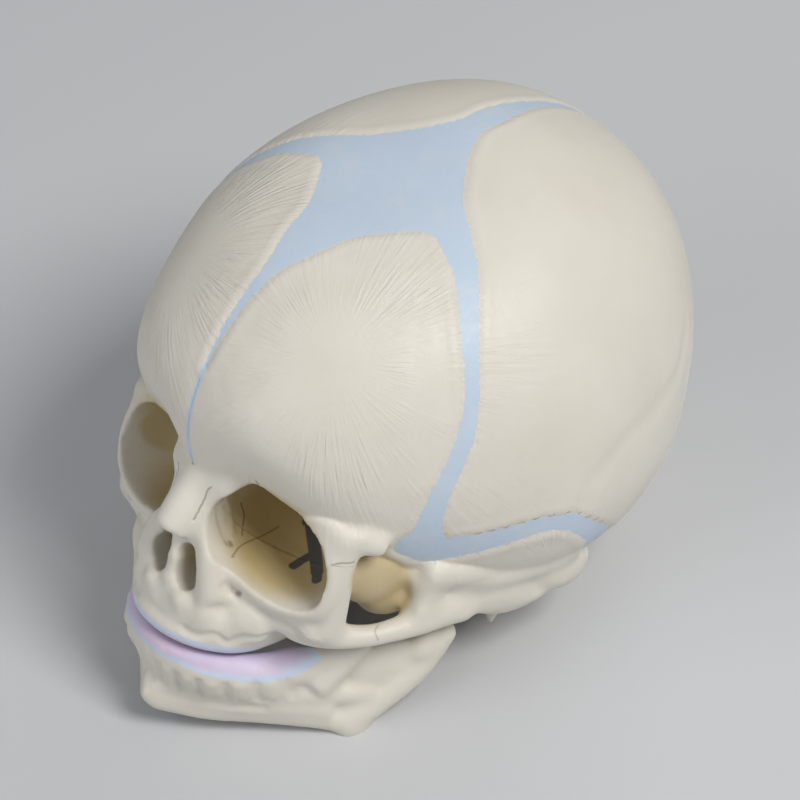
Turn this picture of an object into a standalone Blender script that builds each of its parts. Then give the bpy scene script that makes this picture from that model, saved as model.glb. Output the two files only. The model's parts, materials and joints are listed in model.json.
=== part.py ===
"""Newborn skull model: plate bones over a base and face, soft seams between them, and a hinged lower jaw."""

import math

import bmesh
import bpy
from mathutils import Matrix, Vector

# Braincase, measured from its centre, which lies above the line through the ear openings
VAULT_HALF_WIDTH = 0.0491
VAULT_FRONT = 0.0551
VAULT_BACK = 0.0584
VAULT_RISE = 0.0526
VAULT_DROP = 0.0405
VAULT_ROUNDNESS = 1.95
VAULT_CENTRE_HEIGHT = 0.0045
BONE_THICKNESS = 0.0020
VAULT_SEGMENTS, VAULT_RINGS = 40, 24
HOLLOW_SEGMENTS, HOLLOW_RINGS = 24, 14

# Swellings and hollows of the braincase: direction, height as a share of the half width, spread in degrees
VAULT_BUMP_SHARES = (
    ((0.45, 0.60, 0.66), 0.035, 20),
    ((0.80, -0.50, -0.12), -0.067, 20),
    ((0.00, 0.35, 0.94), 0.045, 24),
    ((0.00, -0.40, 0.92), -0.175, 22),
    ((0.00, 0.97, -0.10), -0.045, 26),
    ((0.00, 0.80, 0.60), 0.041, 24),
    ((0.90, 0.10, -0.30), 0.057, 22),
    ((0.35, -0.92, 0.00), 0.045, 14),
    ((0.30, -0.88, -0.36), -0.060, 9),
    ((0.228, -0.949, -0.216), -0.066, 7),
    ((0.00, 0.72, -0.70), 0.090, 26),
)

# Soft seams: how far they lie under the bone, how thick they are, and the gap to the bone
SEAM_RECESS = 0.0004
SEAM_THICKNESS = 0.0011
SEAM_GAP = 0.0003
SEAM_WIDTH = 0.0030

# Face box: front of the gums back to the hinge, nose root down to the gum line, half the breadth at the
# cheeks
FACE_FRONT = 0.0600
FACE_DEPTH = 0.0500
FACE_TOP = -0.0080
FACE_HEIGHT = 0.0400
FACE_HALF_WIDTH = 0.0350

ORBIT_HALF_WIDTH = 0.0133
ORBIT_HALF_HEIGHT = 0.0103
ORBIT_DEPTH = 0.0255
ORBIT_WALL = 0.0014
ORBIT_RIM = 0.0016
NOSE_HALF_WIDTH = 0.0064
NOSE_HEIGHT = 0.0135
NOSE_DEPTH = 0.0170
SEPTUM_THICKNESS = 0.0013

FORAMEN_HALF_WIDTH = 0.0078
FORAMEN_HALF_LENGTH = 0.0105
FORAMEN_RIM = 0.0030

# Jaw box: from the hinge axis forward and down, and half the breadth at the jaw angles
HINGE_BACK = -0.0080
HINGE_HEIGHT = -0.0365
HINGE_HALF_SPACING = 0.0333
JAW_LENGTH = 0.0450
JAW_DROP = 0.0250
JAW_HALF_WIDTH = 0.0300
CONDYLE_HALF_WIDTH = 0.0040
CONDYLE_RADIUS = 0.0032
PIN_RADIUS = 0.0010
PIN_LENGTH = 0.0090
PIN_CLEARANCE = 0.0003
SOCKET_CLEARANCE = 0.0009
LUG_RADIUS = 0.0026
SYMPHYSIS_HALF_WIDTH = 0.0009
GUM_RADIUS = 0.0024
EAR_RING_RADIUS = 0.0046
EAR_RING_WIRE = 0.0009
STYLOID_LENGTH = 0.0065
STYLOID_RADIUS = 0.0017

# Standing pose: how far the face tips up, and the height of the ear line over the table
STANCE_PITCH = 22.8
STANCE_HEIGHT = 0.04345

SKIN_STEP = 0.00105
# The exact solver leaves some cuts through the fused skin open
FUSED_SOLVER = "MANIFOLD"
SMOOTHING_PASSES = 8
FACE_KEEP_SHARE = 0.045
JAW_KEEP_SHARE = 0.045
FLATNESS = 3
SHARP_ANGLE = 35
BAR_SEGMENTS = 24
BALL_SUBDIVISIONS = 3
ROD_BEVEL_STEPS = 1
WELD_SHARE = 0.01
QUARTER_TURN = 90
SMOOTHING_FACTOR = 0.5
RING_TURNS = 20
MIDLINE_SNAP = 0.000002
OVERRUN = 0.0300
REACH = 0.1800

VAULT_CENTRE = Vector((0, 0, VAULT_CENTRE_HEIGHT))
HINGE_CENTRE = Vector((0, HINGE_BACK, HINGE_HEIGHT))

BONE = ("bone", (0.78, 0.75, 0.68), 0.45, 0.0)
SEAM = ("soft_seam", (0.56, 0.68, 0.82), 0.55, 0.0)
GUM = ("gum", (0.66, 0.53, 0.68), 0.5, 0.0)
STEEL = ("pin_steel", (0.62, 0.62, 0.60), 0.3, 1.0)


def face_point(across, back, down):
    """Point of the face box from shares of its half width, depth and height."""
    return Vector((
        across * FACE_HALF_WIDTH,
        back * FACE_DEPTH - FACE_FRONT,
        FACE_TOP - down * FACE_HEIGHT,
    ))


def jaw_point(across, forward, down):
    """Point of the jaw box from shares of its half width, length and drop below the hinge."""
    return Vector((
        across * JAW_HALF_WIDTH,
        HINGE_BACK - forward * JAW_LENGTH,
        HINGE_HEIGHT - down * JAW_DROP,
    ))


def base_point(across, back, down):
    """Point of the skull base from shares of the braincase's half width, back and drop."""
    return Vector((
        across * VAULT_HALF_WIDTH,
        back * VAULT_BACK,
        VAULT_CENTRE_HEIGHT - down * VAULT_DROP,
    ))


def heading(longitude, latitude):
    """Unit vector from angles in degrees: longitude runs from the forehead towards the left ear."""
    turn, lift = math.radians(longitude), math.radians(latitude)
    return Vector((
        math.cos(lift) * math.sin(turn),
        -math.cos(lift) * math.cos(turn),
        math.sin(lift),
    ))


def vault_radius(direction):
    """Distance from the braincase's centre to its outer skin along a unit direction."""
    x, y, z = direction
    half_length = VAULT_FRONT if y < 0 else VAULT_BACK
    half_height = VAULT_RISE if z > 0 else VAULT_DROP
    total = sum(
        abs(part / span) ** VAULT_ROUNDNESS
        for part, span in ((x, VAULT_HALF_WIDTH), (y, half_length), (z, half_height))
    )
    radius = total ** (-1 / VAULT_ROUNDNESS)
    folded = Vector((abs(x), y, z))
    for axis, share, spread in VAULT_BUMP_SHARES:
        away = math.degrees(folded.angle(Vector(axis)))
        radius += share * VAULT_HALF_WIDTH * math.exp(-((away / spread) ** 2) / 2)
    return radius


def collection_named(name):
    """New collection in the scene."""
    made = bpy.data.collections.new(name)
    bpy.context.scene.collection.children.link(made)
    return made


def object_from(form, name):
    """Working object that takes a bmesh."""
    bmesh.ops.recalc_face_normals(form, faces=form.faces)
    mesh = bpy.data.meshes.new(name)
    form.to_mesh(mesh)
    form.free()
    made = bpy.data.objects.new(name, mesh)
    bpy.data.collections["workshop"].objects.link(made)
    return made


def baked(thing):
    """Replaces an object's mesh by its evaluated one and drops its modifiers."""
    graph = bpy.context.evaluated_depsgraph_get()
    mesh = bpy.data.meshes.new_from_object(thing.evaluated_get(graph))
    thing.modifiers.clear()
    thing.data = mesh
    return thing


def combined(thing, tool, operation, solver="EXACT"):
    """Applies a Boolean of a tool to an object. The tool stays."""
    change = thing.modifiers.new("join", "BOOLEAN")
    change.operation = operation
    change.solver = solver
    change.object = tool
    return baked(thing)


def copy_of(thing, name):
    """Independent working copy of an object."""
    made = bpy.data.objects.new(name, thing.data.copy())
    bpy.data.collections["workshop"].objects.link(made)
    return made


def dropped(*things):
    """Removes working objects."""
    for thing in things:
        bpy.data.objects.remove(thing)


def ball(centre, radii, turn=0):
    """Ellipsoid turned about the vertical by an angle in degrees."""
    form = bmesh.new()
    bmesh.ops.create_icosphere(form, subdivisions=BALL_SUBDIVISIONS, radius=1)
    place = Matrix.Translation(centre) @ Matrix.Rotation(math.radians(turn), 4, "Z")
    bmesh.ops.transform(form, matrix=place @ Matrix.Diagonal((*radii, 1)), verts=form.verts)
    return object_from(form, "ball")


def limb(points, radii, closed=False, steps=4):
    """Tapering rod along a smooth line of points."""
    curve = bpy.data.curves.new("limb", "CURVE")
    curve.dimensions = "3D"
    curve.bevel_depth = 1
    curve.bevel_resolution = ROD_BEVEL_STEPS
    curve.use_fill_caps = True
    spline = curve.splines.new("NURBS")
    spline.points.add(len(points) - 1)
    for knot, point, radius in zip(spline.points, points, radii):
        knot.co = (*point, 1)
        knot.radius = radius
    spline.order_u = 3
    spline.resolution_u = steps
    spline.use_endpoint_u = not closed
    spline.use_cyclic_u = closed
    guide = bpy.data.objects.new("limb", curve)
    bpy.data.collections["workshop"].objects.link(guide)
    graph = bpy.context.evaluated_depsgraph_get()
    mesh = bpy.data.meshes.new_from_object(guide.evaluated_get(graph))
    dropped(guide)
    form = bmesh.new()
    form.from_mesh(mesh)
    bmesh.ops.remove_doubles(form, verts=form.verts, dist=min(radii) * WELD_SHARE)
    return object_from(form, "limb")


def block(low, high):
    """Box between two corners."""
    form = bmesh.new()
    bmesh.ops.create_cube(form, size=1)
    place = Matrix.Translation((low + high) / 2) @ Matrix.Diagonal((*(high - low), 1))
    bmesh.ops.transform(form, matrix=place, verts=form.verts)
    return object_from(form, "block")


def lofted(rings, name):
    """Solid through a row of closed rings with as many points each, capped at both ends."""
    form = bmesh.new()
    loops = []
    for ring in rings:
        corners = [form.verts.new(point) for point in ring]
        edges = zip(corners, corners[1:] + corners[:1])
        loops.append([form.edges.new(pair) for pair in edges])
    for first, second in zip(loops, loops[1:]):
        bmesh.ops.bridge_loops(form, edges=first + second)
    for loop in (loops[0], loops[-1]):
        bmesh.ops.holes_fill(form, edges=loop, sides=0)
    bmesh.ops.triangulate(form, faces=form.faces)
    return object_from(form, name)


def inset(outline, distance):
    """Flat outline of (u, v) pairs moved in by a distance, whichever way it runs round."""
    count = len(outline)
    area = sum(
        outline[i][0] * outline[(i + 1) % count][1] - outline[(i + 1) % count][0] * outline[i][1]
        for i in range(count)
    )
    side = math.copysign(distance, area)
    moved = []
    for i in range(count):
        here = Vector(outline[i])
        before = (here - Vector(outline[i - 1])).normalized()
        after = (Vector(outline[(i + 1) % count]) - here).normalized()
        inward = Vector((-before.y, before.x)) + Vector((-after.y, after.x))
        moved.append(here + inward * side / (1 + before.dot(after)))
    return moved


def slab(outline, axis, low, high, shrink=0):
    """Prism of an outline along X, Y or Z. The outline holds the other two coordinates in order."""
    def placed(pair, along):
        parts = list(pair)
        parts.insert("XYZ".index(axis), along)
        return Vector(parts)

    outline = inset(outline, shrink) if shrink else outline
    ends = (low + shrink, high - shrink)
    return lofted([[placed(pair, end) for pair in outline] for end in ends], "slab")


def joined(things, name):
    """One object from several working objects, which are removed."""
    form = bmesh.new()
    for thing in things:
        form.from_mesh(thing.data)
    dropped(*things)
    return object_from(form, name)


def mirror_of(thing, name):
    """Mirror image of an object across the midline."""
    form = bmesh.new()
    form.from_mesh(thing.data)
    bmesh.ops.scale(form, vec=(-1, 1, 1), verts=form.verts)
    return object_from(form, name)


def with_mirrors(things):
    """The objects followed by their mirror images."""
    return things + [mirror_of(thing, thing.name) for thing in things]


def fused(things, name, keep_share, passes):
    """Grows overlapping forms into one smooth skin and keeps a share of its faces."""
    skin = joined(things, name)
    remesh = skin.modifiers.new("skin", "REMESH")
    remesh.mode = "VOXEL"
    remesh.voxel_size = SKIN_STEP
    smooth = skin.modifiers.new("smooth", "SMOOTH")
    smooth.factor = SMOOTHING_FACTOR
    smooth.iterations = passes
    thin = skin.modifiers.new("thin", "DECIMATE")
    thin.ratio = keep_share
    return baked(skin)


def vault(inset_depth, segments, rings):
    """Closed skin of the braincase at a depth under its outer surface."""
    form = bmesh.new()
    bmesh.ops.create_uvsphere(form, u_segments=segments, v_segments=rings, radius=1)
    for corner in form.verts:
        direction = corner.co.normalized()
        corner.co = VAULT_CENTRE + direction * (vault_radius(direction) - inset_depth)
    return object_from(form, "vault")


def vault_point(direction, depth=0):
    """Point on the braincase's skin along a direction, or under it."""
    return VAULT_CENTRE + direction * (vault_radius(direction) - depth)


# Eye socket: its margin is given round its middle, in shares of its half width and half height
ORBIT_CENTRE_SHARES = (0.513, 0.289, 0.232)
ORBIT_APEX_SHARES = (0.245, 0.735, 0.180)
ORBIT_OUTLINE_SHARES = (
    (-0.756, 0.679), (-0.590, 0.922), (-0.409, 1.071), (-0.105, 0.989), (0.182, 0.922), (0.454, 0.765),
    (0.692, 0.508), (0.838, 0.165), (0.906, -0.207), (0.865, -0.629), (0.698, -0.862), (0.334, -0.996),
    (-0.090, -0.944), (-0.572, -0.735), (-0.849, -0.403), (-0.975, 0.092), (-0.924, 0.419),
)
ORBIT_SLOPES = (0.303, 0.043)
ORBIT_RIM_SPREAD = 0.7
ORBIT_FRONT_SHARE = -0.3
ORBIT_RING_SHARES = ((0, 1), (0.25, 0.98), (0.5, 0.88), (0.75, 0.62), (0.92, 0.34), (1, 0.16))


def orbit_ring(depth_share, size_share, growth):
    """Outline of the eye socket at a share of its depth."""
    centre = face_point(*ORBIT_CENTRE_SHARES)
    axis = (face_point(*ORBIT_APEX_SHARES) - centre).normalized()
    middle = centre + axis * depth_share * (ORBIT_DEPTH + growth * (depth_share > 0))
    points = []
    for u, v in ORBIT_OUTLINE_SHARES:
        flat = Vector((u * ORBIT_HALF_WIDTH, v * ORBIT_HALF_HEIGHT)) * size_share
        across, up = flat + flat.normalized() * growth
        slope = across * ORBIT_SLOPES[0] + up * ORBIT_SLOPES[1]
        points.append(middle + Vector((across, slope, up)))
    return points


def orbit_form(growth, front_share):
    """Rounded pyramid of the eye socket, grown by a wall and started in front of its rim or at it."""
    first = [orbit_ring(front_share, 1, growth)] if front_share else []
    return lofted(first + [orbit_ring(*row, growth) for row in ORBIT_RING_SHARES], "orbit")


def orbit_rim():
    """Rounded margin round the eye socket."""
    crest = orbit_ring(ORBIT_RIM / ORBIT_DEPTH, 1, ORBIT_RIM * ORBIT_RIM_SPREAD)
    return limb(crest, [ORBIT_RIM] * len(crest), closed=True)


# Face forms on the left side: places in shares of the face box, radii in shares of its height
FACE_ROD_SHARES = (
    ((0, 0.256, 0, 0.110), (0, 0.216, 0.108, 0.105), (0, 0.162, 0.215, 0.100), (0, 0.112, 0.335, 0.095)),
    ((0.103, 0.248, -0.013, 0.070), (0.126, 0.232, 0.150, 0.065), (0.166, 0.216, 0.300, 0.068),
     (0.217, 0.212, 0.450, 0.072), (0.257, 0.232, 0.613, 0.087)),
    ((0, 0.205, 0.74, 0.09), (0.16, 0.22, 0.75, 0.095), (0.28, 0.265, 0.75, 0.10), (0.38, 0.34, 0.75, 0.10),
     (0.43, 0.43, 0.74, 0.10), (0.44, 0.54, 0.72, 0.09)),
    ((0.834, 0.436, 0.050, 0.070), (0.851, 0.444, 0.220, 0.062), (0.846, 0.448, 0.400, 0.068),
     (0.823, 0.460, 0.570, 0.080)),
    ((0.400, 0.320, -0.100, 0.055), (0.586, 0.356, -0.065, 0.065), (0.729, 0.396, -0.015, 0.075),
     (0.834, 0.436, 0.065, 0.075)),
    ((0.823, 0.464, 0.600, 0.070), (0.914, 0.570, 0.600, 0.057), (0.971, 0.680, 0.570, 0.057),
     (1.011, 0.800, 0.535, 0.070), (1.023, 0.940, 0.485, 0.090)),
    ((0.414, 0.340, 0.600, 0.070), (0.586, 0.404, 0.605, 0.065), (0.757, 0.448, 0.600, 0.070)),
    ((0.29, 0.66, 0.38, 0.080), (0.29, 0.67, 0.57, 0.065), (0.27, 0.65, 0.74, 0.05)),
)
FACE_BALL_SHARES = (
    ((0.360, 0.344, 0.66), (0.185, 0.105, 0.160)),
    ((0, 0.270, 0.71), (0.150, 0.150, 0.150)),
    ((0.114, 0.252, 0.188), (0.075, 0.075, 0.188)),
    ((0.114, 0.190, 0.68), (0.075, 0.075, 0.075)),
    ((0.250, 0.235, 0.69), (0.075, 0.075, 0.075)),
    ((0.370, 0.320, 0.70), (0.075, 0.075, 0.075)),
    ((0.749, 0.436, 0.575), (0.115, 0.090, 0.085)),
    ((0, 0.360, 0.69), (0.375, 0.275, 0.075)),
    ((0, 0.400, 0.17), (0.150, 0.300, 0.175)),
    ((0, 0.720, 0.30), (0.225, 0.275, 0.200)),
    ((0.750, 0.690, 0.30), (0.145, 0.238, 0.212)),
)

# Base forms on the left side: places in shares of the braincase, radii in shares of its drop
BASE_ROD_SHARES = (
    ((0, -0.342, 0.654, 0.148), (0, -0.137, 0.778, 0.136), (0, 0.068, 0.877, 0.123)),
    ((0.713, 0.051, 0.753, 0.148), (0.489, -0.051, 0.765, 0.111), (0.244, -0.188, 0.753, 0.074)),
    ((0.713, -0.377, 0.568, 0.074), (0.737, -0.257, 0.551, 0.104), (0.745, -0.103, 0.543, 0.118),
     (0.749, 0.086, 0.543, 0.123)),
    ((0.709, -0.384, 0.763, 0.064), (0.721, -0.240, 0.773, 0.086), (0.717, -0.103, 0.753, 0.104),
     (0.703, 0.051, 0.753, 0.123)),
)
BASE_BALL_SHARES = (
    ((0.723, 0.034, 0.704), (0.143, 0.321, 0.200)),
    ((0.784, 0.171, 0.620), (0.138, 0.198, 0.158)),
    ((0.703, -0.188, 0.800), (0.123, 0.123, 0.086)),
)
LUG_SHARES = ((3, 1.3), (1, 1), (0, 1))
FORAMEN_CENTRE_SHARES = (0, 0.257, 0.940)
EAR_CENTRE_SHARES = (0.750, 0.005, 0.890)
EAR_TILT = 50
EAR_RING_START, EAR_RING_SWEEP, EAR_RING_STEPS = 125, 290, 8
STYLOID_SHARES = (0.665, 0.040, 0.880)
STYLOID_LEAN = (-0.05, 0.25, -1)
STYLOID_TAPER_SHARES = ((-0.5, 1), (0, 1), (0.5, 0.6), (1, 0.2))

# Lower jaw forms on the left side: places in shares of the jaw box, radii in shares of its drop
JAW_ROD_SHARES = (
    ((0, 0.902, 0.932, 0.128), (0.15, 0.862, 0.924, 0.124), (0.29, 0.791, 0.900, 0.120),
     (0.47, 0.660, 0.840, 0.116), (0.67, 0.527, 0.780, 0.116), (0.82, 0.422, 0.764, 0.124),
     (0.91, 0.356, 0.812, 0.160)),
    ((0, 0.898, 0.812, 0.136), (0.18, 0.858, 0.800, 0.132), (0.35, 0.769, 0.772, 0.128),
     (0.53, 0.644, 0.720, 0.124), (0.70, 0.529, 0.680, 0.120), (0.85, 0.422, 0.652, 0.116)),
    ((0, 0.889, 0.680, 0.140), (0.20, 0.851, 0.672, 0.140), (0.37, 0.771, 0.640, 0.136),
     (0.53, 0.664, 0.600, 0.132), (0.68, 0.551, 0.560, 0.124), (0.83, 0.444, 0.520, 0.112),
     (0.97, 0.289, 0.480, 0.104)),
    ((0, 0.909, 0.580, 0.140), (0.20, 0.876, 0.580, 0.140), (0.38, 0.804, 0.560, 0.136),
     (0.53, 0.700, 0.520, 0.132), (0.67, 0.584, 0.472, 0.120)),
    ((0, 0.925, 0.490, 0.144), (0.20, 0.900, 0.490, 0.144), (0.38, 0.835, 0.480, 0.140),
     (0.53, 0.725, 0.450, 0.130), (0.65, 0.615, 0.400, 0.120), (0.77, 0.515, 0.300, 0.112)),
    ((0.80, 0.511, 0.46, 0.120), (0.91, 0.422, 0.14, 0.088), (0.97, 0.367, -0.10, 0.056)),
    ((0.92, 0.333, 0.680, 0.144), (1.00, 0.200, 0.432, 0.136), (1.06, 0.060, 0.200, 0.140),
     (1.10, 0.010, 0.010, 0.118)),
)
JAW_WEB_SHARES = ((0.97, 0.240, 0.26), (0.095, 0.340, 0.260))
JAW_WEB_TURN = -21
JAW_BALL_SHARES = (
    ((0.07, 0.925, 0.88), (0.112, 0.112, 0.112)),
    ((1.08, 0.071, 0.092), (0.108, 0.216, 0.168)),
)

GUM_END_SHARE = 0.8
UPPER_GUM_SHARES = (
    (0, 0.165, 0.815), (0.157, 0.185, 0.815), (0.286, 0.240, 0.812),
    (0.380, 0.320, 0.802), (0.423, 0.410, 0.785), (0.434, 0.520, 0.765),
)
LOWER_GUM_SHARES = (
    (0, 0.953, 0.364), (0.167, 0.931, 0.364), (0.333, 0.864, 0.360),
    (0.493, 0.747, 0.340), (0.573, 0.624, 0.300), (0.647, 0.520, 0.236),
)


def rods(rows, place, span):
    """Rods of a table of shares."""
    return [
        limb([place(*row[:3]) for row in rod], [row[3] * span for row in rod])
        for rod in rows
    ]


def balls(rows, place, span):
    """Ellipsoids of a table of shares."""
    return [ball(place(*centre), [radius * span for radius in radii]) for centre, radii in rows]


def foramen_ring(growth, height):
    """Outline of the opening for the spinal cord, grown by a margin, at a height over its plane."""
    centre = base_point(*FORAMEN_CENTRE_SHARES) + Vector((0, 0, height))
    return [
        centre + Vector((
            (FORAMEN_HALF_WIDTH + growth) * math.cos(2 * math.pi * turn / RING_TURNS),
            (FORAMEN_HALF_LENGTH + growth) * math.sin(2 * math.pi * turn / RING_TURNS),
            0,
        ))
        for turn in range(RING_TURNS)
    ]


def hinge_lug():
    """Boss under the temporal bone that holds the hinge pin beside the condyle."""
    across = HINGE_HALF_SPACING - CONDYLE_HALF_WIDTH - SOCKET_CLEARANCE - LUG_RADIUS
    foot = HINGE_CENTRE + Vector((across, 0, 0))
    points = [foot + Vector((0, 0, LUG_RADIUS * rise)) for rise, _ in LUG_SHARES]
    return limb(points, [LUG_RADIUS * width for _, width in LUG_SHARES])


def face_and_base():
    """Fused solid of the face and the skull base."""
    forms = rods(FACE_ROD_SHARES, face_point, FACE_HEIGHT)
    forms += balls(FACE_BALL_SHARES, face_point, FACE_HEIGHT)
    forms += rods(BASE_ROD_SHARES, base_point, VAULT_DROP)
    forms += balls(BASE_BALL_SHARES, base_point, VAULT_DROP)
    forms += [orbit_form(ORBIT_WALL, 0), orbit_rim(), hinge_lug()]
    forms = with_mirrors(forms)
    forms.append(limb(foramen_ring(FORAMEN_RIM, 0), [FORAMEN_RIM] * RING_TURNS, closed=True))
    return fused(forms, "face_and_base", FACE_KEEP_SHARE, SMOOTHING_PASSES)


# Soft seams on the left side: longitude and latitude in degrees, half width as a share of the seam width
CORONAL_LINE = (
    (51.9, 52, 0.80), (52.7, 48.3, 0.75), (54.8, 37, 0.60), (56.3, 29, 0.48), (57.8, 20, 0.47),
    (57.8, 13, 0.55), (56.7, 5, 0.57), (55.2, -3, 0.63), (54.9, -11, 0.78), (55.5, -17, 1.10),
)
SQUAMOUS_LINE = (
    (59, -21, 1.15), (64, -18.5, 1.15), (69.2, -16.0, 1.08), (77.5, -11.2, 0.95), (84.5, -8.8, 0.82),
    (91.5, -10.5, 0.72), (98, -14.5, 0.75), (104, -18, 0.90),
)
LAMBDOID_LINE = (
    (113, -20, 0.62), (119, -12, 0.42), (125, -2, 0.38), (133, 8, 0.36), (142, 17, 0.36),
    (153, 25, 0.38), (165, 31, 0.45), (176, 34.5, 0.60),
)
METOPIC_LINE = (
    (0, 35, 0.70), (0, 31.5, 0.50), (0, 27, 0.36), (0, 22, 0.26), (0, 17, 0.21), (0, 11, 0.17),
)
SAGITTAL_LINE = (
    (180, 84, 0.90), (180, 80, 0.80), (180, 70, 0.42), (180, 58, 0.34), (180, 46, 0.36), (180, 38, 0.50),
)
FRONT_FONTANELLE = (
    (0, 31), (1.9, 31.5), (3, 35), (7, 41.4), (12, 48.6), (24, 54.6), (37, 56.9), (43, 53.9), (49, 48.3),
    (56.5, 48.5), (55.3, 54.3), (52.7, 62.2), (50.4, 66.8), (50.3, 71.4), (54, 80), (72, 84.8),
    (110, 86.3), (145, 84.8), (164, 80), (180, 79.8),
)
REAR_FONTANELLE = ((180, 41), (176.5, 38), (172, 33), (176, 32), (180, 31))
FORE_SIDE_FONTANELLE = (
    (48.5, -21), (52, -13.5), (58, -13.8), (60.5, -16.8), (62.5, -23.5), (57.8, -26), (52.5, -24.5),
)
REAR_SIDE_FONTANELLE = (
    (100.5, -13.5), (108, -13), (116, -15.5), (116.5, -22), (111.5, -27), (104, -24.5),
)
CUT_IN_SHARE, CUT_OUT_SHARE = 0.45, 2.2
CUT_TIP_SHARE = 0.02


def band(line, margin):
    """Wedge under and over the braincase's skin that follows a line of headings, narrowed by a margin."""
    headings = [heading(*row[:2]) for row in line]
    rings = []
    for i, middle in enumerate(headings):
        ahead = headings[min(i + 1, len(headings) - 1)] - headings[max(i - 1, 0)]
        sideways = middle.cross(ahead).normalized()
        spread = (line[i][2] * SEAM_WIDTH - margin) / vault_radius(middle)
        rings.append([
            VAULT_CENTRE + (middle + sideways * spread * side) * vault_radius(middle) * reach
            for side, reach in (
                (-1, CUT_IN_SHARE), (-1, CUT_OUT_SHARE), (1, CUT_OUT_SHARE), (1, CUT_IN_SHARE),
            )
        ])
    return lofted(rings, "band")


def field(outline, margin, symmetric=False):
    """Wedge under and over the braincase's skin inside an outline of headings, shrunk by a margin."""
    headings = [heading(*row) for row in outline]
    if symmetric:
        headings += [Vector((-h.x, h.y, h.z)) for h in reversed(headings[1:-1])]
    middle = sum(headings, Vector()).normalized()
    centre = vault_radius(middle)
    edge = []
    for i, here in enumerate(headings):
        ahead = headings[(i + 1) % len(headings)] - headings[i - 1]
        inward = here.cross(ahead).normalized()
        if inward.dot(middle - here) < 0:
            inward.negate()
        edge.append(here + inward * margin / centre)
    rings = []
    for reach, gather in (
        (CUT_IN_SHARE, CUT_TIP_SHARE), (CUT_IN_SHARE, 1), (CUT_OUT_SHARE, 1), (CUT_OUT_SHARE, CUT_TIP_SHARE),
    ):
        rings.append([VAULT_CENTRE + middle.lerp(h, gather) * centre * reach for h in edge])
    return lofted(rings, "field")


def seam_tools(margin):
    """Every wedge that parts the plate bones, by name, in the order in which seams are taken."""
    return {
        "anterior_fontanelle": field(FRONT_FONTANELLE, margin, symmetric=True),
        "posterior_fontanelle": field(REAR_FONTANELLE, margin, symmetric=True),
        "sphenoidal_fontanelle_left": field(FORE_SIDE_FONTANELLE, margin),
        "mastoid_fontanelle_left": field(REAR_SIDE_FONTANELLE, margin),
        "metopic_seam": band(METOPIC_LINE, margin),
        "sagittal_seam": band(SAGITTAL_LINE, margin),
        "coronal_seam_left": band(CORONAL_LINE, margin),
        "squamous_seam_left": band(SQUAMOUS_LINE, margin),
        "lambdoid_seam_left": band(LAMBDOID_LINE, margin),
    }


# Bones of the left half in the order in which they are sawn from it. Each is cut out by prisms: an axis, an
# outline in the other two coordinates and a span along the axis, all in shares of the face box.
BONE_CELL_SHARES = (
    ("nasal_bone_left", (("Y", ((-0.1, 0.01), (0.10, 0.01), (0.10, 0.36), (-0.1, 0.36)), (-0.2, 0.34)),)),
    ("maxilla_left", (
        ("Y", ((0.09, 0.01), (0.215, 0.03), (0.24, 0.45), (0.09, 0.45)), (-0.2, 0.30)),
        ("Y", ((-0.1, 0.36), (0.15, 0.38), (0.36, 0.44), (0.63, 0.53), (0.79, 0.74), (0.79, 1.2),
               (-0.1, 1.2)), (-0.2, 0.62)),
    )),
    ("zygomatic_bone_left", (
        ("X", ((0.10, 0.16), (0.475, 0.16), (0.475, 0.47), (0.65, 0.47), (0.68, 0.80), (0.10, 0.80)),
         (0.4, 1.3)),
    )),
    ("temporal_bone_left", (
        ("Z", ((0.29, 0.93), (0.40, 0.79), (1.7, 0.79), (1.7, 1.66), (1.3, 1.60), (0.86, 1.40), (0.51, 1.28),
               (0.29, 1.12)), (-0.4, 1.2)),
        ("Z", ((0.89, 0.60), (1.4, 0.60), (1.4, 0.85), (0.89, 0.85)), (0.36, 0.90)),
    )),
    ("ethmoid_bone", (("Y", ((-0.2, -0.12), (0.25, -0.12), (0.25, 0.60), (-0.2, 0.60)), (0.25, 0.62)),)),
    ("sphenoid_greater_wing_left", (
        ("Z", ((0.26, 0.48), (1.2, 0.48), (1.2, 0.80), (0.40, 0.80), (0.26, 0.93)), (0.045, 1.2)),
    )),
    ("sphenoid_body", (
        ("Z", ((-0.3, 0.50), (0.30, 0.50), (0.40, 0.80), (0.29, 0.94), (-0.3, 0.94)), (0.045, 1.2)),
    )),
    ("occipital_basilar_part", (
        ("Z", ((-0.3, 0.90), (0.31, 0.90), (0.34, 1.20), (0.22, 1.31), (-0.3, 1.31)), (0.3, 1.2)),
    )),
    ("occipital_lateral_part_left", (
        ("Z", ((0.10, 1.15), (0.51, 1.15), (0.95, 1.42), (0.88, 1.62), (0.45, 1.76), (0.10, 1.70)),
         (0.3, 1.2)),
    )),
    ("occipital_squama", (
        ("Z", ((-0.4, 1.20), (2.0, 1.20), (2.0, 2.7), (-0.4, 2.7)), (-1.4, 1.2)),
    )),
)
MIDLINE_BONES = ("ethmoid_bone", "sphenoid_body", "occipital_basilar_part", "occipital_squama")
PARIETAL_MIDDLE = (110, 35)

NOSE_TOP_SHARES = (0, 0.08, 0.295)
SEPTUM_FRONT_SHARES = (0, 0.16, 0.5)
NOSE_OUTLINE_SHARES = ((0, 0), (0.35, 0.06), (0.66, 0.34), (0.94, 0.66), (0.93, 0.86), (0.55, 1), (0, 0.97))
NOSE_RING_SHARES = ((-0.6, 1.0), (0.15, 0.98), (0.6, 0.85), (1, 0.5))


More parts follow.
